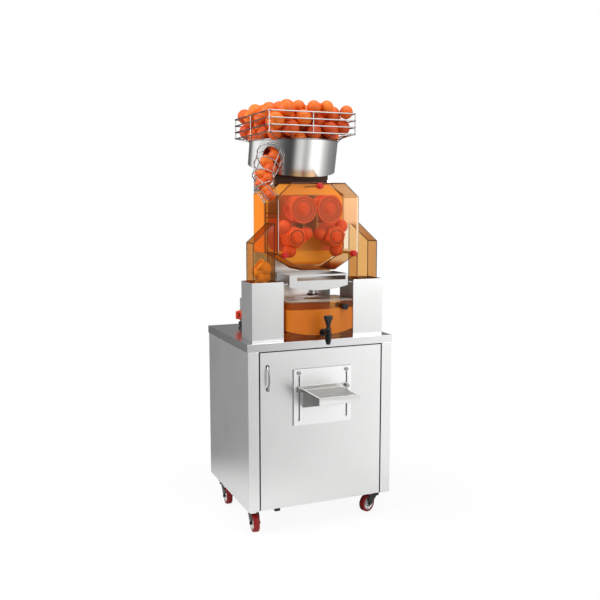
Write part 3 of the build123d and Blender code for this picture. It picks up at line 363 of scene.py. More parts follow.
amberLooks["coverAmber"].update({
    # the pale right wall is a painted sheen
    "sill": (1.198, 1.166), "pale": {"wall": (0.180, 0.190), "share": 0.42, "tone": (0.95, 0.84, 0.65)},
})
amberLooks["tankAmber"]["juice"] = {
    "floor": (0.870, 0.873), "rise": 0.022, "half": 0.160, "level": (0.988, 0.984), "share": 0.42,
}
plateLook = {  # pairs give where a zone starts to show and where it is full
    "halfWide": 0.181, "middle": 1.3575, "halfHigh": 0.1285, "corner": 0.045, "soft": 0.002,
    "strip": (0.080, 0.030), "wedgeLow": (1.318, 1.298), "wedgeWide": (0.100, 0.070),
    # the first two pairs place the painted shade on the upper left of the panel
    "dimLeft": (-0.100, -0.135), "dimHigh": (1.375, 1.400), "studDeep": (-0.0095, -0.0115),
    # the strip's tone is bare steel darkened with painted shade
    "orange": (0.92, 0.125, 0.032), "amber": (1.0, 0.42, 0.022), "bare": (0.14, 0.085, 0.060),
    "dim": (0.34, 0.12, 0.025), "stud": (0.10, 0.06, 0.04), "darker": 0.85, "lighter": 1.1,
    # glow is painted light on the amber zone
    "cloud": 9.0, "rough": 0.35, "roughCloud": 0.1, "glow": 0.18,
}
wireLook = {"tone": (0.41, 0.40, 0.40), "darker": 0.9, "rough": 0.20, "roughHaze": 0.1, "haze": 60.0}
peelLook = {
    "deep": (0.60, 0.045, 0.006), "light": (0.92, 0.205, 0.012), "stalk": (0.16, 0.11, 0.02),
    "ripeShare": 0.75, "cloudShare": 0.3, "cloud": 22.0, "rough": 0.44, "roughCloud": 0.15, "shine": 0.35,
    "pores": 420.0, "poreEdge": 6.0, "poreShare": 0.25, "poreDark": 0.7, "depth": 0.0008, "bump": 0.6,
}
makers = ((brushedSteel, steelLooks), (mouldedPlastic, plasticLooks), (amberSheet, amberLooks),
          (chromeWire, {"basketChrome": wireLook}), (orangePeel, {"orangePeel": peelLook}),
          (pressPlate, {"pressPlate": plateLook}))
looks = {name: make(name, values) for make, rows in makers for name, values in rows.items()}
print("finishes made:", len(looks))


# Mesh tools

weld = 1e-6  # metres within which corners count as one


def fullTurn(steps):
    return np.linspace(0, 2 * math.pi, steps, endpoint=False)


def swell(wave, square):
    # a sine or cosine raised to a power below one, which squares off the round shape it draws
    return np.sign(wave) * np.abs(wave) ** (2 / square)


def quadGrid(rows, columns, closed=False):
    # corner numbers of every quad of a grid that goes all round along its columns and, if closed, its rows
    a, b = np.meshgrid(np.arange(rows if closed else rows - 1), np.arange(columns), indexing="ij")
    nextA, nextB = (a + 1) % rows, (b + 1) % columns
    corners = [a * columns + b, nextA * columns + b, nextA * columns + nextB, a * columns + nextB]
    return np.stack(corners, -1).reshape(-1, 4)


def turnedGrid(profile, columns=56):
    # a profile of radius and rise, carried round the Z axis
    a = fullTurn(columns)
    radius, rise = profile.T[:, :, None]
    grid = np.stack([radius * np.cos(a), radius * np.sin(a), rise + 0 * a], -1)
    return grid.reshape(-1, 3), quadGrid(len(profile), columns)


def axisFrame(axis):
    # turn that carries +Z onto the given axis
    z = np.array(axis, float) / np.linalg.norm(axis)
    x = np.cross((0, 0, 1) if abs(z[2]) < 0.9 else (1, 0, 0), z)
    x /= np.linalg.norm(x)
    return np.stack([x, np.cross(z, x), z], 1)


def copies(shape, quads, frames):
    # one shape at many places: each frame is a 3 by 3 turn-and-size matrix with its place
    turns = np.array([turn for turn, place in frames])
    places = np.array([place for turn, place in frames])
    points = np.einsum("nij,kj->nki", turns, shape) + places[:, None, :]
    offsets = np.arange(len(frames))[:, None, None] * len(shape)
    return points.reshape(-1, 3), (quads[None] + offsets).reshape(-1, 4)


def finished(name, mesh, finishes, body, sharp):
    mesh.polygons.foreach_set("use_smooth", np.ones(len(mesh.polygons), bool))
    mesh.set_sharp_from_angle(angle=math.radians(sharp))
    item = bpy.data.objects.new(name, mesh)
    scene.collection.objects.link(item)
    for look in finishes:
        mesh.materials.append(looks[look])
    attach(item, body)
    return item


def piece(name, points, quads, look, body, attributes=None, sharp=35.0):
    mesh = bpy.data.meshes.new(name)
    mesh.from_pydata(np.asarray(points, np.float32).tolist(), [], quads.tolist())
    for key, values in (attributes or {}).items():
        place = mesh.attributes.new(key, "FLOAT", "POINT")
        place.data.foreach_set("value", np.asarray(values, np.float32))
    work = bmesh.new()
    work.from_mesh(mesh)
    bmesh.ops.remove_doubles(work, verts=work.verts, dist=weld)  # closes poles and seams
    bmesh.ops.recalc_face_normals(work, faces=work.faces)
    work.to_mesh(mesh)
    work.free()
    return finished(name, mesh, [look], body, sharp)


def camel(node):
    first, *rest = node.split("_")
    return first + "".join(word.capitalize() for word in rest)


# CAD sheets and mouldings, with their edges rounded over

rounding = {"segments": 2, "angle": 40.0, "flat": 0.002, "sharp": 35.0}
roundedNodes = {  # look and edge radius in metres
    "worktop": ("satinLevel", 0.0012), "cabinet_wrap": ("satinUpright", 0.0008),
    "floor_panel": ("satinLevel", 0.0005), "door_panel": ("satinUpright", 0.0009),
    "door_pivots": ("tapBlack", 0.0012), "shelf_backplate": ("shelfSteel", 0.0006),
    "backplate_screws": ("zincGrey", 0.0010), "drip_tray": ("brightSteel", 0.0006),
    "shelf_knobs": ("zincGrey", 0.0012), "drip_grid": ("gridSteel", 0.0005),
    "peel_boxes": ("boxSteel", 0.0008), "peel_bin": ("binGrey", 0.0012),
    "peel_chutes": ("chuteAmber", 0.0012), "juice_tank": ("tankAmber", 0.0012),
    "tank_lid": ("lidAmber", 0.0014), "front_cover": ("coverAmber", 0.0022),
    "rear_shroud": ("shroudAmber", 0.0012), "tap_body": ("tapBlack", 0.0010),
    "level_sensor": ("tapBlack", 0.0015), "sieve_tray": ("sieveSteel", 0.0006),
    "spout_ring": ("ringBrown", 0.0012), "body_shell": ("satinUpright", 0.0008),
    "rear_cover": ("satinUpright", 0.0006), "control_box": ("satinUpright", 0.0008),
    "switch_base": ("guardGrey", 0.0030), "main_switch": ("switchRed", 0.0030),
    "power_inlet": ("tapBlack", 0.0006), "chamber_back_plate": ("pressPlate", 0.0006),
    "knife": ("bronze", 0.0003), "drum_support": ("supportSteel", 0.0010),
    "feeder_motor": ("motorBlack", 0.0020), "drive_motor": ("motorBlack", 0.0020),
    "caster_plates": ("forkGrey", 0.0008),
}
# the lower drums take the lighter copy: painted light
pressLook = {"upper": "pressOrange", "lower": "pressOrangePaintedLight"}
plainNodes = {
    "sieve_screen": "gridSteel", "feeder_drum": "drumSteel", "feeder_disc": "satinLevel",
    "basket": "basketChrome", "chute_wires": "runSteel", "shaft_bearings": "bronze",
    "cover_knob_top": "knobRed", "cover_knob_left": "knobRed", "cover_knob_right": "knobRed",
}
for drum in drumNames:
    roundedNodes[drum + "_drum"] = (pressLook[drum.split("_")[0]], 0.0012)
    plainNodes[drum + "_shaft"] = "turnedSteel"
for corner in casterNames:
    roundedNodes["caster_fork_" + corner] = ("forkGrey", 0.0008)


def soften(node, look, width):
    # a merged copy of the CAD mesh, bevelled along its sharp edges; amber sheets get darker cut edges
    work = bmesh.new()
    work.from_mesh(nodes[node].data)
    bmesh.ops.remove_doubles(work, verts=work.verts, dist=weld)
    bmesh.ops.dissolve_limit(work, angle_limit=rounding["flat"], verts=work.verts, edges=work.edges)
    mesh = bpy.data.meshes.new(camel(node))
    work.to_mesh(mesh)
    work.free()
    mesh.polygons.foreach_set("material_index", np.zeros(len(mesh.polygons), np.int32))
    mesh.materials.clear()
    sheet = look in amberLooks
    finishes = [look, "cutEdge"] if sheet else [look]
    item = finished(camel(node), mesh, finishes, bodyOf[node], rounding["sharp"])
    bevel = item.modifiers.new("roundedEdge", "BEVEL")
    bevel.width = width
    bevel.segments = rounding["segments"]
    bevel.limit_method = "ANGLE"
    bevel.angle_limit = math.radians(rounding["angle"])
    bevel.harden_normals = True
    bevel.material = 1 if sheet else -1
    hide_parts(node)


for node, (look, width) in roundedNodes.items():
    soften(node, look, width)
for node, look in plainNodes.items():
    for place in nodes[node].material_slots:
        place.material = looks[look]
print("sheet edges rounded:", len(roundedNodes))


# Caster wheels: a round-shouldered tyre on a ribbed hub

wheel = {"radius": 0.040, "seat": 0.0301, "halfWidth": 0.014, "square": 4.0, "turns": 72, "tyreSteps": 28,
         "ribs": 6, "ribHeight": 0.0022, "ribSteep": 3, "ribGap": 1.6, "web": (0.0135, 0.0265)}
hubProfile = np.array([
    (4.1, -15), (11, -15), (12, -14.4), (14, -9.5), (16, -9), (24, -9), (27, -11), (28.6, -13), (30, -13),
    (30, 13), (28.6, 13), (27, 11), (24, 9), (16, 9), (14, 9.5), (12, 14.4), (11, 15), (4.1, 15),
]) / 1000  # radius and place along the axle


def wheelGrid(radius, width):
    # a closed profile carried round the axle
    a = fullTurn(wheel["turns"])[:, None]
    grid = np.stack([radius * np.cos(a), radius * np.sin(a), width + 0 * a], -1)
    return grid.reshape(-1, 3), quadGrid(len(a), len(radius), True)


def tyreGrid():
    # a squared-off ellipse as the profile
    t = fullTurn(wheel["tyreSteps"])
    middle = (wheel["radius"] + wheel["seat"]) / 2
    radius = middle + (wheel["radius"] - middle) * swell(np.cos(t), wheel["square"])
    return wheelGrid(radius, wheel["halfWidth"] * swell(np.sin(t), wheel["square"]))


def hubGrid():
    # a stepped profile, its web raised into ribs that come and go with the angle
    radius, width = hubProfile.T
    inside, outside = wheel["web"]
    web = (radius > inside) & (radius < outside)
    wave = np.cos(wheel["ribs"] * fullTurn(wheel["turns"]))[:, None]
    rib = np.clip(wave * wheel["ribSteep"] - wheel["ribGap"], 0, 1) * wheel["ribHeight"] * web
    return wheelGrid(radius, width + np.sign(width) * rib)


for corner in casterNames:
    joint = joints["roll_" + corner]
    node = "caster_wheel_" + corner
    turn = axisFrame(joint["axis"])
    for part, (grid, quads), look in (("tyre", tyreGrid(), "tyreRed"), ("hub", hubGrid(), "hubSteel")):
        item = piece(f"{part}_{corner}", grid @ turn.T + joint["pos_m"], quads, look, bodyOf[node])
        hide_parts(node)
print("casters dressed")


# Oranges: heaped in the basket, on the feeder disc and down the wire run

fruit = {
    "seed": 15, "small": 0.0350, "large": 0.0395, "full": 115, "late": 0.86, "most": 190, "tries": 1800,
    "press": 0.985, "heapTop": 1.9125, "heapFall": 0.26, "deepFall": 0.75,
    "rings": 19, "turns": 28, "flat": 0.95, "dimple": 0.05, "dimpleWide": 0.30, "dimpleFoot": 0.5,
    "stalkRise": 1.1, "stalkWide": 0.12, "stalkMost": 0.8,
}
drumAxis = {"centre": (0.0, 0.1585, 1.615), "tilt": 14.2, "radius": 0.203, "rim": 1.727, "discTop": 0.014,
            "gap": 0.002, "under": 0.9, "lip": 0.005}
tilt = math.radians(drumAxis["tilt"])
drumX, drumY, drumZ = drumAxis["centre"]
basketBox = {"half": (0.206, 0.234), "middle": 0.1345, "floor": 1.757, "ring": 0.203, "seat": 1.731,
             "slope": 0.06}
runLine = np.array([(-0.132, 0.0345, 1.653), (-0.165, 0.0055, 1.653), (-0.192, -0.0235, 1.611),
                    (-0.217, -0.0535, 1.566), (-0.218, -0.0755, 1.522), (-0.188, -0.0915, 1.470)])
runSpots = [  # how far along the run, how far to the right and over its middle line, and the radius
    (0.018, 0.014, 0.004, 0.0305), (0.066, -0.013, -0.008, 0.0300), (0.108, 0.017, -0.010, 0.0280),
    (0.146, -0.019, -0.006, 0.0270), (0.170, 0.020, -0.008, 0.0265), (0.196, -0.015, -0.010, 0.0265),
    (0.226, 0.014, -0.010, 0.0265), (0.256, -0.008, -0.004, 0.0260),
]
noRoom = 9.0  # a height far over the heap, for places where an orange can't lie
rng = np.random.default_rng(fruit["seed"])


def orangeGrid():
    # a sphere pressed in at both poles, deeper at the stalk, as a profile turned about its axis
    polar = np.linspace(0, math.pi, fruit["rings"])
    top = np.exp(-((polar / fruit["dimpleWide"]) ** 2))
    foot = np.exp(-(((math.pi - polar) / fruit["dimpleWide"]) ** 2))
    size = 1 - fruit["dimple"] * (top + fruit["dimpleFoot"] * foot)
    profile = np.stack([size * np.sin(polar), fruit["flat"] * size * np.cos(polar)], 1)
    stalk = np.clip(fruit["stalkRise"] - polar / fruit["stalkWide"], 0, fruit["stalkMost"])
    return *turnedGrid(profile, fruit["turns"]), np.repeat(stalk, fruit["turns"])


def anyTurn():
    turn, _ = np.linalg.qr(rng.normal(size=(3, 3)))
    return turn * np.sign(np.linalg.det(turn))


def oranges(name, centres, radii, body):
    shape, quads, stalk = orangeGrid()
    frames = [(anyTurn() * radius, centre) for centre, radius in zip(centres, radii)]
    ripe = np.repeat(rng.uniform(0, 1, len(frames)), len(shape))
    skin = {"ripe": ripe, "stalk": np.tile(stalk, len(frames))}
    piece(name, *copies(shape, quads, frames), "orangePeel", body, skin, sharp=180.0)


def restingHeight(x, y, radius):
    # lowest centre of an orange over the basket: on the sloping wire floor, or in the drum on the tilted disc
    rimY = drumY - (drumAxis["rim"] - drumZ) * math.tan(tilt)
    away = np.hypot(x - drumX, y - rimY)
    disc = drumZ + (y - drumY) * math.tan(tilt) + (drumAxis["discTop"] + radius) / math.cos(tilt)
    edge = np.clip((away - basketBox["ring"]) / basketBox["slope"], 0, 1)
    cone = basketBox["seat"] + edge * (basketBox["floor"] - basketBox["seat"]) + radius
    return np.where(away > basketBox["ring"], cone, disc)


def throughDrum(x, y, z, radius):
    # true where an orange below the rim would stick out through the wall of the tilted drum
    across = (y - drumY) * math.cos(tilt) + (z - drumZ) * math.sin(tilt)
    tight = np.hypot(x - drumX, across) > drumAxis["radius"] - radius - drumAxis["gap"]
    return tight & (z < drumAxis["rim"] + drumAxis["under"] * radius)


def pile():
    # each orange drops into the lowest pocket found under a low dome
    centres = np.zeros((0, 3))
    radii = np.zeros(0)
    middle = basketBox["middle"]
    for number in range(fruit["most"]):
        size = 1 if number < fruit["full"] else fruit["late"]
        radius = rng.uniform(fruit["small"], fruit["large"]) * size
        halfX, halfY = np.array(basketBox["half"]) - radius
        x = rng.uniform(-halfX, halfX, fruit["tries"])
        y = middle + rng.uniform(-halfY, halfY, fruit["tries"])
        z = restingHeight(x, y, radius)
        if len(centres):
            reach = (radius + radii)[None, :] * fruit["press"]
            gap2 = (x[:, None] - centres[:, 0]) ** 2 + (y[:, None] - centres[:, 1]) ** 2
            over = centres[:, 2] + np.sqrt(np.maximum(reach ** 2 - gap2, 0))
            z = np.maximum(z, np.where(gap2 < reach ** 2, over, -noRoom).max(1))
        dome = fruit["heapTop"] - fruit["heapFall"] * (x ** 2 + fruit["deepFall"] * (y - middle) ** 2)
        z = np.where((z + radius > dome) | throughDrum(x, y, z, radius), noRoom, z)
        best = int(np.argmin(z))
        if z[best] < noRoom:
            centres = np.vstack([centres, (x[best], y[best], z[best])])
            radii = np.append(radii, radius)
    return centres, radii


def runFruit():
    # oranges one after another along the run, to the left and right of its middle line
    steps = np.diff(runLine, axis=0)
    lengths = np.linalg.norm(steps, axis=1)
    along = np.append(0, np.cumsum(lengths))
    ways = steps / lengths[:, None]
    sides = np.cross((0, 0, 1), ways)
    sides /= np.linalg.norm(sides, axis=1)[:, None]
    spots, right, over, radii = np.array(runSpots).T
    part = np.clip(np.searchsorted(along, spots) - 1, 0, len(steps) - 1)
    middle = runLine[part] + ways[part] * (spots - along[part])[:, None]
    upward = np.cross(ways, sides)[part]
    return middle + sides[part] * right[:, None] + upward * over[:, None], radii


heapAt, heapSize = pile()
inDrum = heapAt[:, 2] < drumAxis["rim"] - drumAxis["lip"]
oranges("basketOranges", heapAt[~inDrum], heapSize[~inDrum], "basket")
oranges("drumOranges", heapAt[inDrum], heapSize[inDrum], "cabinet")
runAt, runSize = runFruit()
oranges("runOranges", runAt, runSize, "cabinet")
print("oranges:", len(heapAt), "in the basket and the drum,", len(runAt), "in the run")


# Hub caps on the pressing drums, with dark rings of painted shade in their grooves

capProfile = np.array([
    (26, 0), (26, 3), (24.5, 4.4), (21.5, 4.4), (20.4, 5.6), (19, 11.4), (17.6, 12.2), (13, 12.2), (12, 11.2),
    (8.5, 11.2), (7.5, 12.2), (0, 12.4),
]) / 1000  # radius and rise
discProfile = np.array([
    (38, 0), (38, 2.2), (36.5, 3.4), (33, 3.4), (32, 2.4), (29, 2.4), (28, 3.4), (26, 3.4),
]) / 1000  # the wider disc under the lower caps
groove = {"half": 0.0016, "sunk": -0.001, "rise": {"upper": 0.0004, "lower": 0.0040},
          "radii": {"upper": (0.0235, 0.0365, 0.0500), "lower": (0.0235, 0.0305)}}


def grooveProfile(radius, rise):
    # a flat ring, closed on itself
    inner, outer, sunk = radius - groove["half"], radius + groove["half"], groove["sunk"]
    return np.array([(inner, sunk), (outer, sunk), (outer, rise), (inner, rise), (inner, sunk)])


forward = axisFrame((0, -1, 0))
for drum in drumNames:
    row = drum.split("_")[0]
    middle = np.array(joints[drum + "_spin"]["pos_m"])
    middle[1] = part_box(drum + "_drum")[0].y
    profile = capProfile if row == "upper" else np.concatenate([discProfile, capProfile[1:]])
    grid, quads = turnedGrid(profile)
    cap = piece(camel(drum + "_cap"), grid @ forward.T + middle, quads, pressLook[row], drum)
    for number, radius in enumerate(groove["radii"][row]):
        grid, quads = turnedGrid(grooveProfile(radius, groove["rise"][row]))
        # painted shade: a dark ring in each groove
        ring = piece(camel(f"{drum}_groove_{number}"), grid @ forward.T + middle, quads, "grooveRed", drum)


# Door pull: a slim bow that swells at both ends, on two dark feet

pull = {"slim": 0.0036, "swell": 0.0030, "bend": 3, "swellEnd": 6, "steps": 41, "sides": 16,
        "footRadius": 0.0075, "footRise": 0.0055, "footShoulder": 0.7, "footTop": 0.8, "footSides": 28}
pullLow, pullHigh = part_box("door_handle")
pullX = (pullLow.x + pullHigh.x) / 2
pullEnds = (pullLow.z + pull["footRadius"], pullHigh.z - pull["footRadius"])


def bowGrid():
    # a circle carried up a flat-topped bow, its radius growing with a high power towards the ends
    t = np.linspace(0, 1, pull["steps"])
    a = fullTurn(pull["sides"])
    fromMiddle = np.abs(2 * t - 1)
    out = (pullHigh.y - pullLow.y - pull["slim"]) * (1 - fromMiddle ** pull["bend"])
    middle = np.stack([0 * t + pullX, pullHigh.y - out, pullEnds[0] + (pullEnds[1] - pullEnds[0]) * t], 1)
    way = np.gradient(middle, axis=0)
    way /= np.linalg.norm(way, axis=1)[:, None]
    across = np.array([1.0, 0.0, 0.0])
    over = np.cross(way, across)
    radius = (pull["slim"] + pull["swell"] * fromMiddle ** pull["swellEnd"])[:, None, None]
    ring = np.cos(a)[None, :, None] * across + np.sin(a)[None, :, None] * over[:, None, :]
    return (middle[:, None, :] + radius * ring).reshape(-1, 3), quadGrid(len(t), len(a))


def footGrid():
    # a short round foot with a bevelled rim
    r, h = pull["footRadius"], pull["footRise"]
    profile = [(r, 0), (r, pull["footShoulder"] * h), (pull["footTop"] * r, h), (0, h)]
    return turnedGrid(np.array(profile), pull["footSides"])


bow = piece("pullBow", *bowGrid(), "basketChrome", "door")
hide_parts("door_handle")
footFrames = [(forward, (pullX, pullHigh.y, z)) for z in pullEnds]
feet = piece("pullFeet", *copies(*footGrid(), footFrames), "tapBlack", "door")
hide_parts("door_handle")


# Tap lever: a paddle that narrows down to its pin

lever = {"top": 0.021, "waist": 0.0085, "root": 0.0098, "thick": 0.0075, "thinner": 0.25, "square": 3.2,
         "waistAt": 0.30, "spreadOver": 0.55, "spreadBend": 1.3, "roundFrom": 0.93, "roundOver": 0.07,
         "tipWidth": 0.82, "steps": 33, "sides": 36}
leverLow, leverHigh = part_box("tap_handle")


def leverGrid():
    # a squared-off ellipse carried up the lever: narrow to the waist, then spreading, thinned at the tip
    e = lever
    t = np.linspace(0, 1, e["steps"])[:, None]
    a = fullTurn(e["sides"])
    tip = np.maximum((t - e["roundFrom"]) / e["roundOver"], 0)
    rounded = np.sqrt(np.maximum(1 - tip ** 2, 0))
    spread = np.clip((t - e["waistAt"]) / e["spreadOver"], 0, 1) ** e["spreadBend"]
    narrow = e["root"] + (e["waist"] - e["root"]) * np.clip(t / e["waistAt"], 0, 1)
    half = narrow * (1 - spread) + e["top"] * spread
    half = half * (e["tipWidth"] + (1 - e["tipWidth"]) * rounded)
    deep = e["thick"] * (1 - e["thinner"] * t) * rounded
    x = (leverLow.x + leverHigh.x) / 2 + half * swell(np.cos(a), e["square"])
    y = (leverLow.y + leverHigh.y) / 2 + deep * swell(np.sin(a), e["square"])
    z = leverLow.z + (leverHigh.z - leverLow.z) * t + 0 * a
    grid = np.stack([x, y, z], -1)
    ends = grid[[0, -1]] * 0 + grid[[0, -1]].mean(1, keepdims=True)
    rows = np.concatenate([ends[:1], grid, ends[1:]])
    return rows.reshape(-1, 3), quadGrid(len(rows), len(a))


paddle = piece("tapLever", *leverGrid(), "tapBlack", bodyOf["tap_handle"])
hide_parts("tap_handle")
print("hub caps, door pull and tap lever made")


# Glued seams of the amber sheets

seam = {"radius": 0.0020, "inset": 0.0018, "over": 0.5, "sides": 10}
coverEdge = {"half": 0.195, "topHalf": 0.127, "footHalf": 0.078, "haunch": 1.228, "shoulder": 1.474,
             "feedLow": 1.452, "ribs": (1.386, 1.404)}
# the painted highlight down the cover's front left edge
shine = {"x": -0.1905, "ends": (1.240, 1.462), "radius": 0.0009}
chuteEdge = {"inner": 0.198, "outer": 0.300, "flat": 0.205, "deep": 0.090, "low": 1.106, "shoulder": 1.277}
tankEdge = {"half": 0.160, "corner": 0.016, "bow": 0.650, "floor": 0.866, "floorRise": 0.018, "backIn": 0.02,
            "rimIn": 0.001, "floorIn": 0.002, "uprightIn": 0.003, "uprightBack": 0.034, "radius": 0.0017,
            "cornerSteps": 7, "bowSteps": 9}


def rods(name, lines, radius, look, body):
    # a round bar along every straight step of the given lines, a little longer than the step
    shape, quads = turnedGrid(np.array([(0, 0), (1, 0), (1, 1), (0, 1.0)]), seam["sides"])
    starts = np.concatenate([line[:-1] for line in lines])
    steps = np.concatenate([np.diff(line, axis=0) for line in lines])
    over = seam["over"] * radius * steps / np.linalg.norm(steps, axis=1)[:, None]
    frames = [(axisFrame(step) * np.array([radius, radius, np.linalg.norm(step)]), start)
              for start, step in zip(starts - over, steps + 2 * over)]
    item = piece(name, *copies(shape, quads, frames), look, body)


def atDepth(outline, y):
    return np.array([(x, y, z) for x, z in outline])


def inDepth(spots, front, rear):
    return [np.array([(x, front, z), (x, rear, z)]) for x, z in spots]


def coverSeams():
    # the octagon of the front face, the rear edge without its feed opening, and the edges between them
    low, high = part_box("front_cover")
    e, inset = coverEdge, seam["inset"]
    half, top = e["half"] - inset, e["topHalf"] - inset
    right = [(e["footHalf"], low.z + inset), (half, e["haunch"]), (half, e["shoulder"]),
             (top, high.z - inset)]
    left = [(-x, z) for x, z in reversed(right)]
    front, rear = low.y + inset, high.y - inset
    lines = [atDepth(right + left + right[:1], front), atDepth(right + left[:1], rear)]
    lines.append(atDepth([(-half, e["feedLow"])] + left[2:], rear))
    return lines + inDepth([(-half, z) for z in e["ribs"]] + right + left[2:], front, rear)


def chuteSeams(side):
    # the gable of the chute in front and behind, and the edges between them
    low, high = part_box("peel_chutes")
    e, inset = chuteEdge, seam["inset"]
    inner, outer, peak = e["inner"] + inset, e["outer"] - inset, high.z - inset
    outline = [(inner, e["low"]), (inner, peak), (e["flat"], peak), (outer, e["shoulder"]), (outer, e["low"])]
    outline = [(side * x, z) for x, z in outline]
    front, rear = low.y + inset, low.y + e["deep"] - inset
    return [atDepth(outline, front), atDepth(outline, rear)] + inDepth(outline[1:4], front, rear)


def tankFront(grow):
    # plan of the bulged front with its rounded corners, from the right side to the left
    e = tankEdge
    low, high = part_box("juice_tank")
    bow, corner, half = e["bow"] + grow, e["corner"] + grow, e["half"] + grow
    bowY = low.y + e["bow"]
    x = half - corner
    y = bowY - math.sqrt((bow - corner) ** 2 - x ** 2)
    end = math.atan2(y - bowY, x)
    a = np.linspace(0, end, e["cornerSteps"])
    right = np.stack([x + corner * np.cos(a), y + corner * np.sin(a)], 1)
    reach = np.linspace(bow * math.cos(end), 0, e["bowSteps"])
    arc = np.stack([reach, bowY - np.sqrt(bow ** 2 - reach ** 2)], 1)
    plan = np.concatenate([[(half, high.y - e["backIn"])], right, arc[1:]])
    return np.concatenate([plan, plan[-2::-1] * (-1, 1)])


def tankSeams():
    # the rim under the lid, a floor that rises with the square of the distance aside, and two uprights
    low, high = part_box("juice_tank")
    lidLow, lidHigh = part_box("tank_lid")
    e = tankEdge
    rim = tankFront(-e["rimIn"])
    floorPlan = tankFront(-e["floorIn"])
    floorZ = e["floor"] + e["floorRise"] * (floorPlan[:, :1] / e["half"]) ** 2
    lines = [np.hstack([rim, 0 * rim[:, :1] + (lidLow.z + lidHigh.z) / 2]), np.hstack([floorPlan, floorZ])]
    for side in (-1, 1):
        corner = (side * (e["half"] - e["uprightIn"]), low.y + e["uprightBack"])
        lines.append(np.array([(*corner, low.z + e["floorIn"]), (*corner, high.z)]))
    return lines


rods("coverSeams", coverSeams(), seam["radius"], "gluedSeam", bodyOf["front_cover"])
# a thin white bar down the cover's front left edge: a painted highlight
paintedHighlightLine = atDepth([(shine["x"], z) for z in shine["ends"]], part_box("front_cover")[0].y)
rods("coverShine", [paintedHighlightLine], shine["radius"], "markWhite", bodyOf["front_cover"])
rods("chuteSeams", chuteSeams(-1) + chuteSeams(1), seam["radius"], "gluedSeam", bodyOf["peel_chutes"])
rods("tankSeams", tankSeams(), tankEdge["radius"], "gluedSeam", bodyOf["juice_tank"])
print("seams laid")


# Squeezed halves heaped in the left chute

peelHeap = {
    "radius": 0.033, "inner": 0.86, "rings": 9, "turns": 22,
    "spots": [(-0.232, -0.104, 1.094), (-0.266, -0.092, 1.098), (-0.262, -0.106, 1.122),
              (-0.234, -0.096, 1.130), (-0.256, -0.098, 1.152), (-0.236, -0.106, 1.164),
              (-0.262, -0.104, 1.182)],
}


def peelCup():
    # half a squeezed orange: an outer bowl, a flat rim and an inner bowl, each an arc turned about the axis
    polar = np.linspace(0, math.pi / 2, peelHeap["rings"])
    outer = np.stack([np.sin(polar), -np.cos(polar)], 1)
    return turnedGrid(np.concatenate([outer, outer[::-1] * peelHeap["inner"]]), peelHeap["turns"])


cups = [(anyTurn() * peelHeap["radius"], spot) for spot in peelHeap["spots"]]
piece("chutePeels", *copies(*peelCup(), cups), "peelGold", "cabinet", sharp=60.0)
print("peels dropped:", len(cups))


# Small fittings: screws, inlet pins, dial marks, cross wires of the grid, and bright strips in the shelf slots as
# painted light

screw = {"radius": 0.0045, "rise": 0.0024, "dome": 0.85, "slot": 0.0009, "slotDepth": 0.0011,
         "slotReach": 0.62, "sides": 32,
         "rings": (0.0, 0.10, 0.2, 0.3, 0.42, 0.55, 0.7, 0.85, 0.95, 1.0, 1.0)}
screwIn = {"side": 0.012, "end": 0.02, "rows": 5}
pins = {"deep": 0.006, "half": (0.0042, 0.0011, 0.0018),
        "spots": ((-0.007, -0.002), (0.0, 0.0025), (0.007, -0.002))}
dial = {"radius": 0.027, "turns": (0.0, -math.pi / 2), "half": (0.0006, 0.0018, 0.0018)}
crossWire = {"front": 0.012, "back": 0.008, "step": 0.010, "side": 0.003, "drop": 0.0022, "half": 0.0011}
shelfSlot = {"x": (-0.115, 0.115), "z": 0.5975, "in": 0.0009, "half": (0.0046, 0.0004, 0.1030)}


def screwGrid():
    # a low dome of rings, cut by a cross where either coordinate is small, the last ring dropped to the foot
    ring = np.array(screw["rings"])
    rise = screw["rise"] * np.sqrt(np.maximum(1 - screw["dome"] * ring ** 2, 0))
    rise[-1] = 0
    grid, quads = turnedGrid(np.stack([screw["radius"] * ring, rise], 1), screw["sides"])
    cross = np.abs(grid[:, :2]).min(1) < screw["slot"] / 2
    grid[:, 2] -= screw["slotDepth"] * (cross & np.repeat(ring < screw["slotReach"], screw["sides"]))
    return grid, quads


def screws(name, places, axis, body):
    frames = [(axisFrame(axis), place) for place in places]
    piece(name, *copies(*screwGrid(), frames), "turnedSteel", body, sharp=50.0)


def roundBox(half, square=6.0, rows=13, columns=24):
    # a superellipsoid: powers of sine and cosine swell a sphere towards a box
    v = np.linspace(-math.pi / 2, math.pi / 2, rows)[:, None]
    u = np.linspace(-math.pi, math.pi, columns, endpoint=False)
    ring, rise = swell(np.cos(v), square), swell(np.sin(v), square)
    unit = np.stack([ring * swell(np.cos(u), square), ring * swell(np.sin(u), square), rise + 0 * u], -1)
    return unit.reshape(-1, 3) * half, quadGrid(rows, columns)


def blocks(name, spots, half, look, body):
    frames = [(np.eye(3), spot) for spot in spots]
    return piece(name, *copies(*roundBox(half), frames), look, body, sharp=60.0)


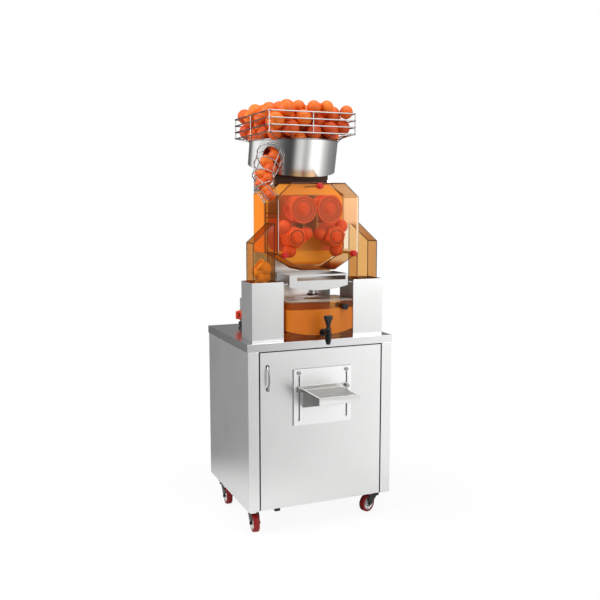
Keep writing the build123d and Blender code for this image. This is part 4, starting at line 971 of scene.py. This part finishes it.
coverLow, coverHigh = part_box("rear_cover")
sideX = coverHigh.x - screwIn["side"]
rearZ = np.linspace(coverLow.z + screwIn["end"], coverHigh.z - screwIn["end"], screwIn["rows"])
screws("rearScrews", [(x, coverHigh.y, z) for x in (-sideX, sideX) for z in rearZ], (0, 1, 0), "cabinet")
boxLow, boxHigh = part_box("control_box")
boxX = (boxLow.x + screwIn["side"], boxHigh.x - screwIn["side"])
boxY = (boxLow.y + screwIn["side"], boxHigh.y - screwIn["side"])
screws("boxScrews", [(x, y, boxHigh.z) for x in boxX for y in boxY], (0, 0, 1), "cabinet")
inletLow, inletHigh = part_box("power_inlet")
inletY, inletZ = (inletLow.y + inletHigh.y) / 2, (inletLow.z + inletHigh.z) / 2
pinSpots = [(inletLow.x + pins["deep"], inletY + y, inletZ + z) for y, z in pins["spots"]]
blocks("inletPins", pinSpots, pins["half"], "bronze", "cabinet")
baseLow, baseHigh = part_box("switch_base")
dialY, dialZ = (baseLow.y + baseHigh.y) / 2, (baseLow.z + baseHigh.z) / 2
dialRim = [(dial["radius"] * math.sin(a), dial["radius"] * math.cos(a)) for a in dial["turns"]]
markSpots = [(baseLow.x, dialY + y, dialZ + z) for y, z in dialRim]
blocks("dialMarks", markSpots, dial["half"], "markWhite", "cabinet")
gridLow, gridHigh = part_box("drip_grid")
gridX, wireZ = (gridLow.x + gridHigh.x) / 2, gridHigh.z - crossWire["drop"]
wireY = np.arange(gridLow.y + crossWire["front"], gridHigh.y - crossWire["back"], crossWire["step"])
wireHalf = ((gridHigh.x - gridLow.x) / 2 - crossWire["side"], crossWire["half"], crossWire["half"])
crossWires = blocks("gridCrossWires", [(gridX, y, wireZ) for y in wireY], wireHalf, "gridSteel", "grid")
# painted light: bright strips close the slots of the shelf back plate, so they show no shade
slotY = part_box("shelf_backplate")[1].y - shelfSlot["in"]
slotSpots = [(x, slotY, shelfSlot["z"]) for x in shelfSlot["x"]]
slotPaintedLight = blocks("slotPaintedLight", slotSpots, shelfSlot["half"], "shelfSteel", bodyOf["shelf_backplate"])
print("small fittings made")


# Camera, lamps and backdrop

view = {"place": (-1.4298, -3.3657, 1.4525), "down": 7.004, "turn": -22.703, "lens": 47.808, "sensor": 36.0}
lamps = {  # place, aim, size in metres, watts
    "topSoftbox": ((0.0, -0.6, 4.2), (0.0, 0.0, 0.9), 2.6, 66.0),
    "leftSoftbox": ((-3.4, -0.4, 2.6), (0.0, 0.0, 1.4), 2.0, 104.0),
    "frontSoftbox": ((2.2, -3.8, 2.2), (0.0, 0.0, 1.0), 2.2, 44.0),
}
# how bright the studio is all round, from -180 to 180 degrees about the front, towards the right
studioRound = [
    (-180, 0.10), (-166, 0.12), (-156, 0.30), (-147, 0.95), (-128, 1.1), (-110, 0.7), (-95, 0.4),
    (-60, 0.2), (-48, 0.10), (-30, 0.04), (-21, 0.06), (-12, 0.62), (0, 0.95), (9, 0.5), (18, 0.50),
    (26, 1.05), (34, 1.45), (52, 1.45), (70, 0.7), (90, 0.34), (120, 0.22), (145, 0.24), (158, 0.30),
    (172, 0.14), (180, 0.10),
]
studio = {"gain": 1.5, "fill": 0.90, "floorTone": 0.86, "floorLighter": 1.03, "floorCloud": 3.0,
          "floorWhite": 0.92, "near": 0.62, "far": 1.15, "rings": 12, "sides": 96}

camera = bpy.data.objects.new("camera", bpy.data.cameras.new("camera"))
camera.location = view["place"]
camera.rotation_euler = (math.radians(90 - view["down"]), 0.0, math.radians(view["turn"]))
camera.data.lens = view["lens"]
camera.data.sensor_width = view["sensor"]
scene.collection.objects.link(camera)
scene.camera = camera

for name, (place, aim, size, watts) in lamps.items():
    lamp = bpy.data.lights.new(name, "AREA")
    lamp.shape = "SQUARE"
    lamp.size = size
    lamp.energy = watts
    item = bpy.data.objects.new(name, lamp)
    toward = np.array(aim) - np.array(place)
    item.location = place
    item.visible_camera = False
    item.rotation_euler = (math.atan2(math.hypot(toward[0], toward[1]), -toward[2]), 0.0,
                           math.atan2(toward[1], toward[0]) - math.pi / 2)
    scene.collection.objects.link(item)


def studioWorld():
    # brightness by bearing for light and mirrors, plain white for the camera
    scene.world = scene.world or bpy.data.worlds.new("studio")
    w = Finish("studio", scene.world)
    way = w.node("TexCoord", out="Generated")
    across = w.node("SeparateXYZ", None, {0: way})
    ahead = w.node("SeparateXYZ", None, {0: way}, out="Y")
    bearing = across.math("ARCTAN2", across, 0 - ahead) / (2 * math.pi) + 0.5
    stops = [((angle + 180) / 360, level / studio["gain"]) for angle, level in studioRound]
    allRound = w.node("ValToRGB", {"stops": stops}, {0: bearing})
    seen = w.node("LightPath", out="Is Camera Ray")
    mirrored = w.node("LightPath", out="Is Glossy Ray") + w.node("LightPath", out="Is Transmission Ray")
    strength = seen + (1 - seen) * (mirrored + (1 - mirrored) * studio["fill"]) * studio["gain"]
    white = w.blend(seen, allRound, (1.0, 1.0, 1.0))
    shader = w.node("Background", None, {"Color": white, "Strength": strength})
    w.node("OutputWorld", None, {"Surface": shader})


def paleFloor():
    # a flat disc that fades out between two radii
    ring = np.linspace(0, 1, studio["rings"]) * studio["far"]
    grid, quads = turnedGrid(np.stack([ring, 0 * ring], 1), studio["sides"])
    f = Finish("paleFloor")
    flat = f.node("VectorMath", {"operation": "LENGTH"}, {0: f.spot()}, out="Value")
    fade = f.fade(flat, studio["near"], studio["far"], {"interpolation_type": "SMOOTHSTEP"})
    tone = (studio["floorTone"],) * 3
    color = f.spread(f.noise(studio["floorCloud"], detail=2.0), tone, 1.0, studio["floorLighter"])
    matt = f.node("BsdfDiffuse", None, {"Color": color})
    glow = f.node("Emission", None, {"Color": (1.0, 1.0, 1.0), "Strength": 1.0})
    seen = f.node("LightPath", out="Is Camera Ray")
    lit = f.node("MixShader", None, {0: seen * studio["floorWhite"], 1: matt, 2: glow})
    look = f.close(f.node("MixShader", None, {0: fade, 1: lit, 2: f.node("BsdfTransparent")}))
    mesh = bpy.data.meshes.new("paleFloor")
    mesh.from_pydata(grid.tolist(), [], quads.tolist())
    mesh.materials.append(look)
    floor = bpy.data.objects.new("paleFloor", mesh)
    scene.collection.objects.link(floor)


studioWorld()
paleFloor()
scene.view_settings.view_transform = "Standard"
scene.cycles.transparent_max_bounces = 32
print("camera and studio set")
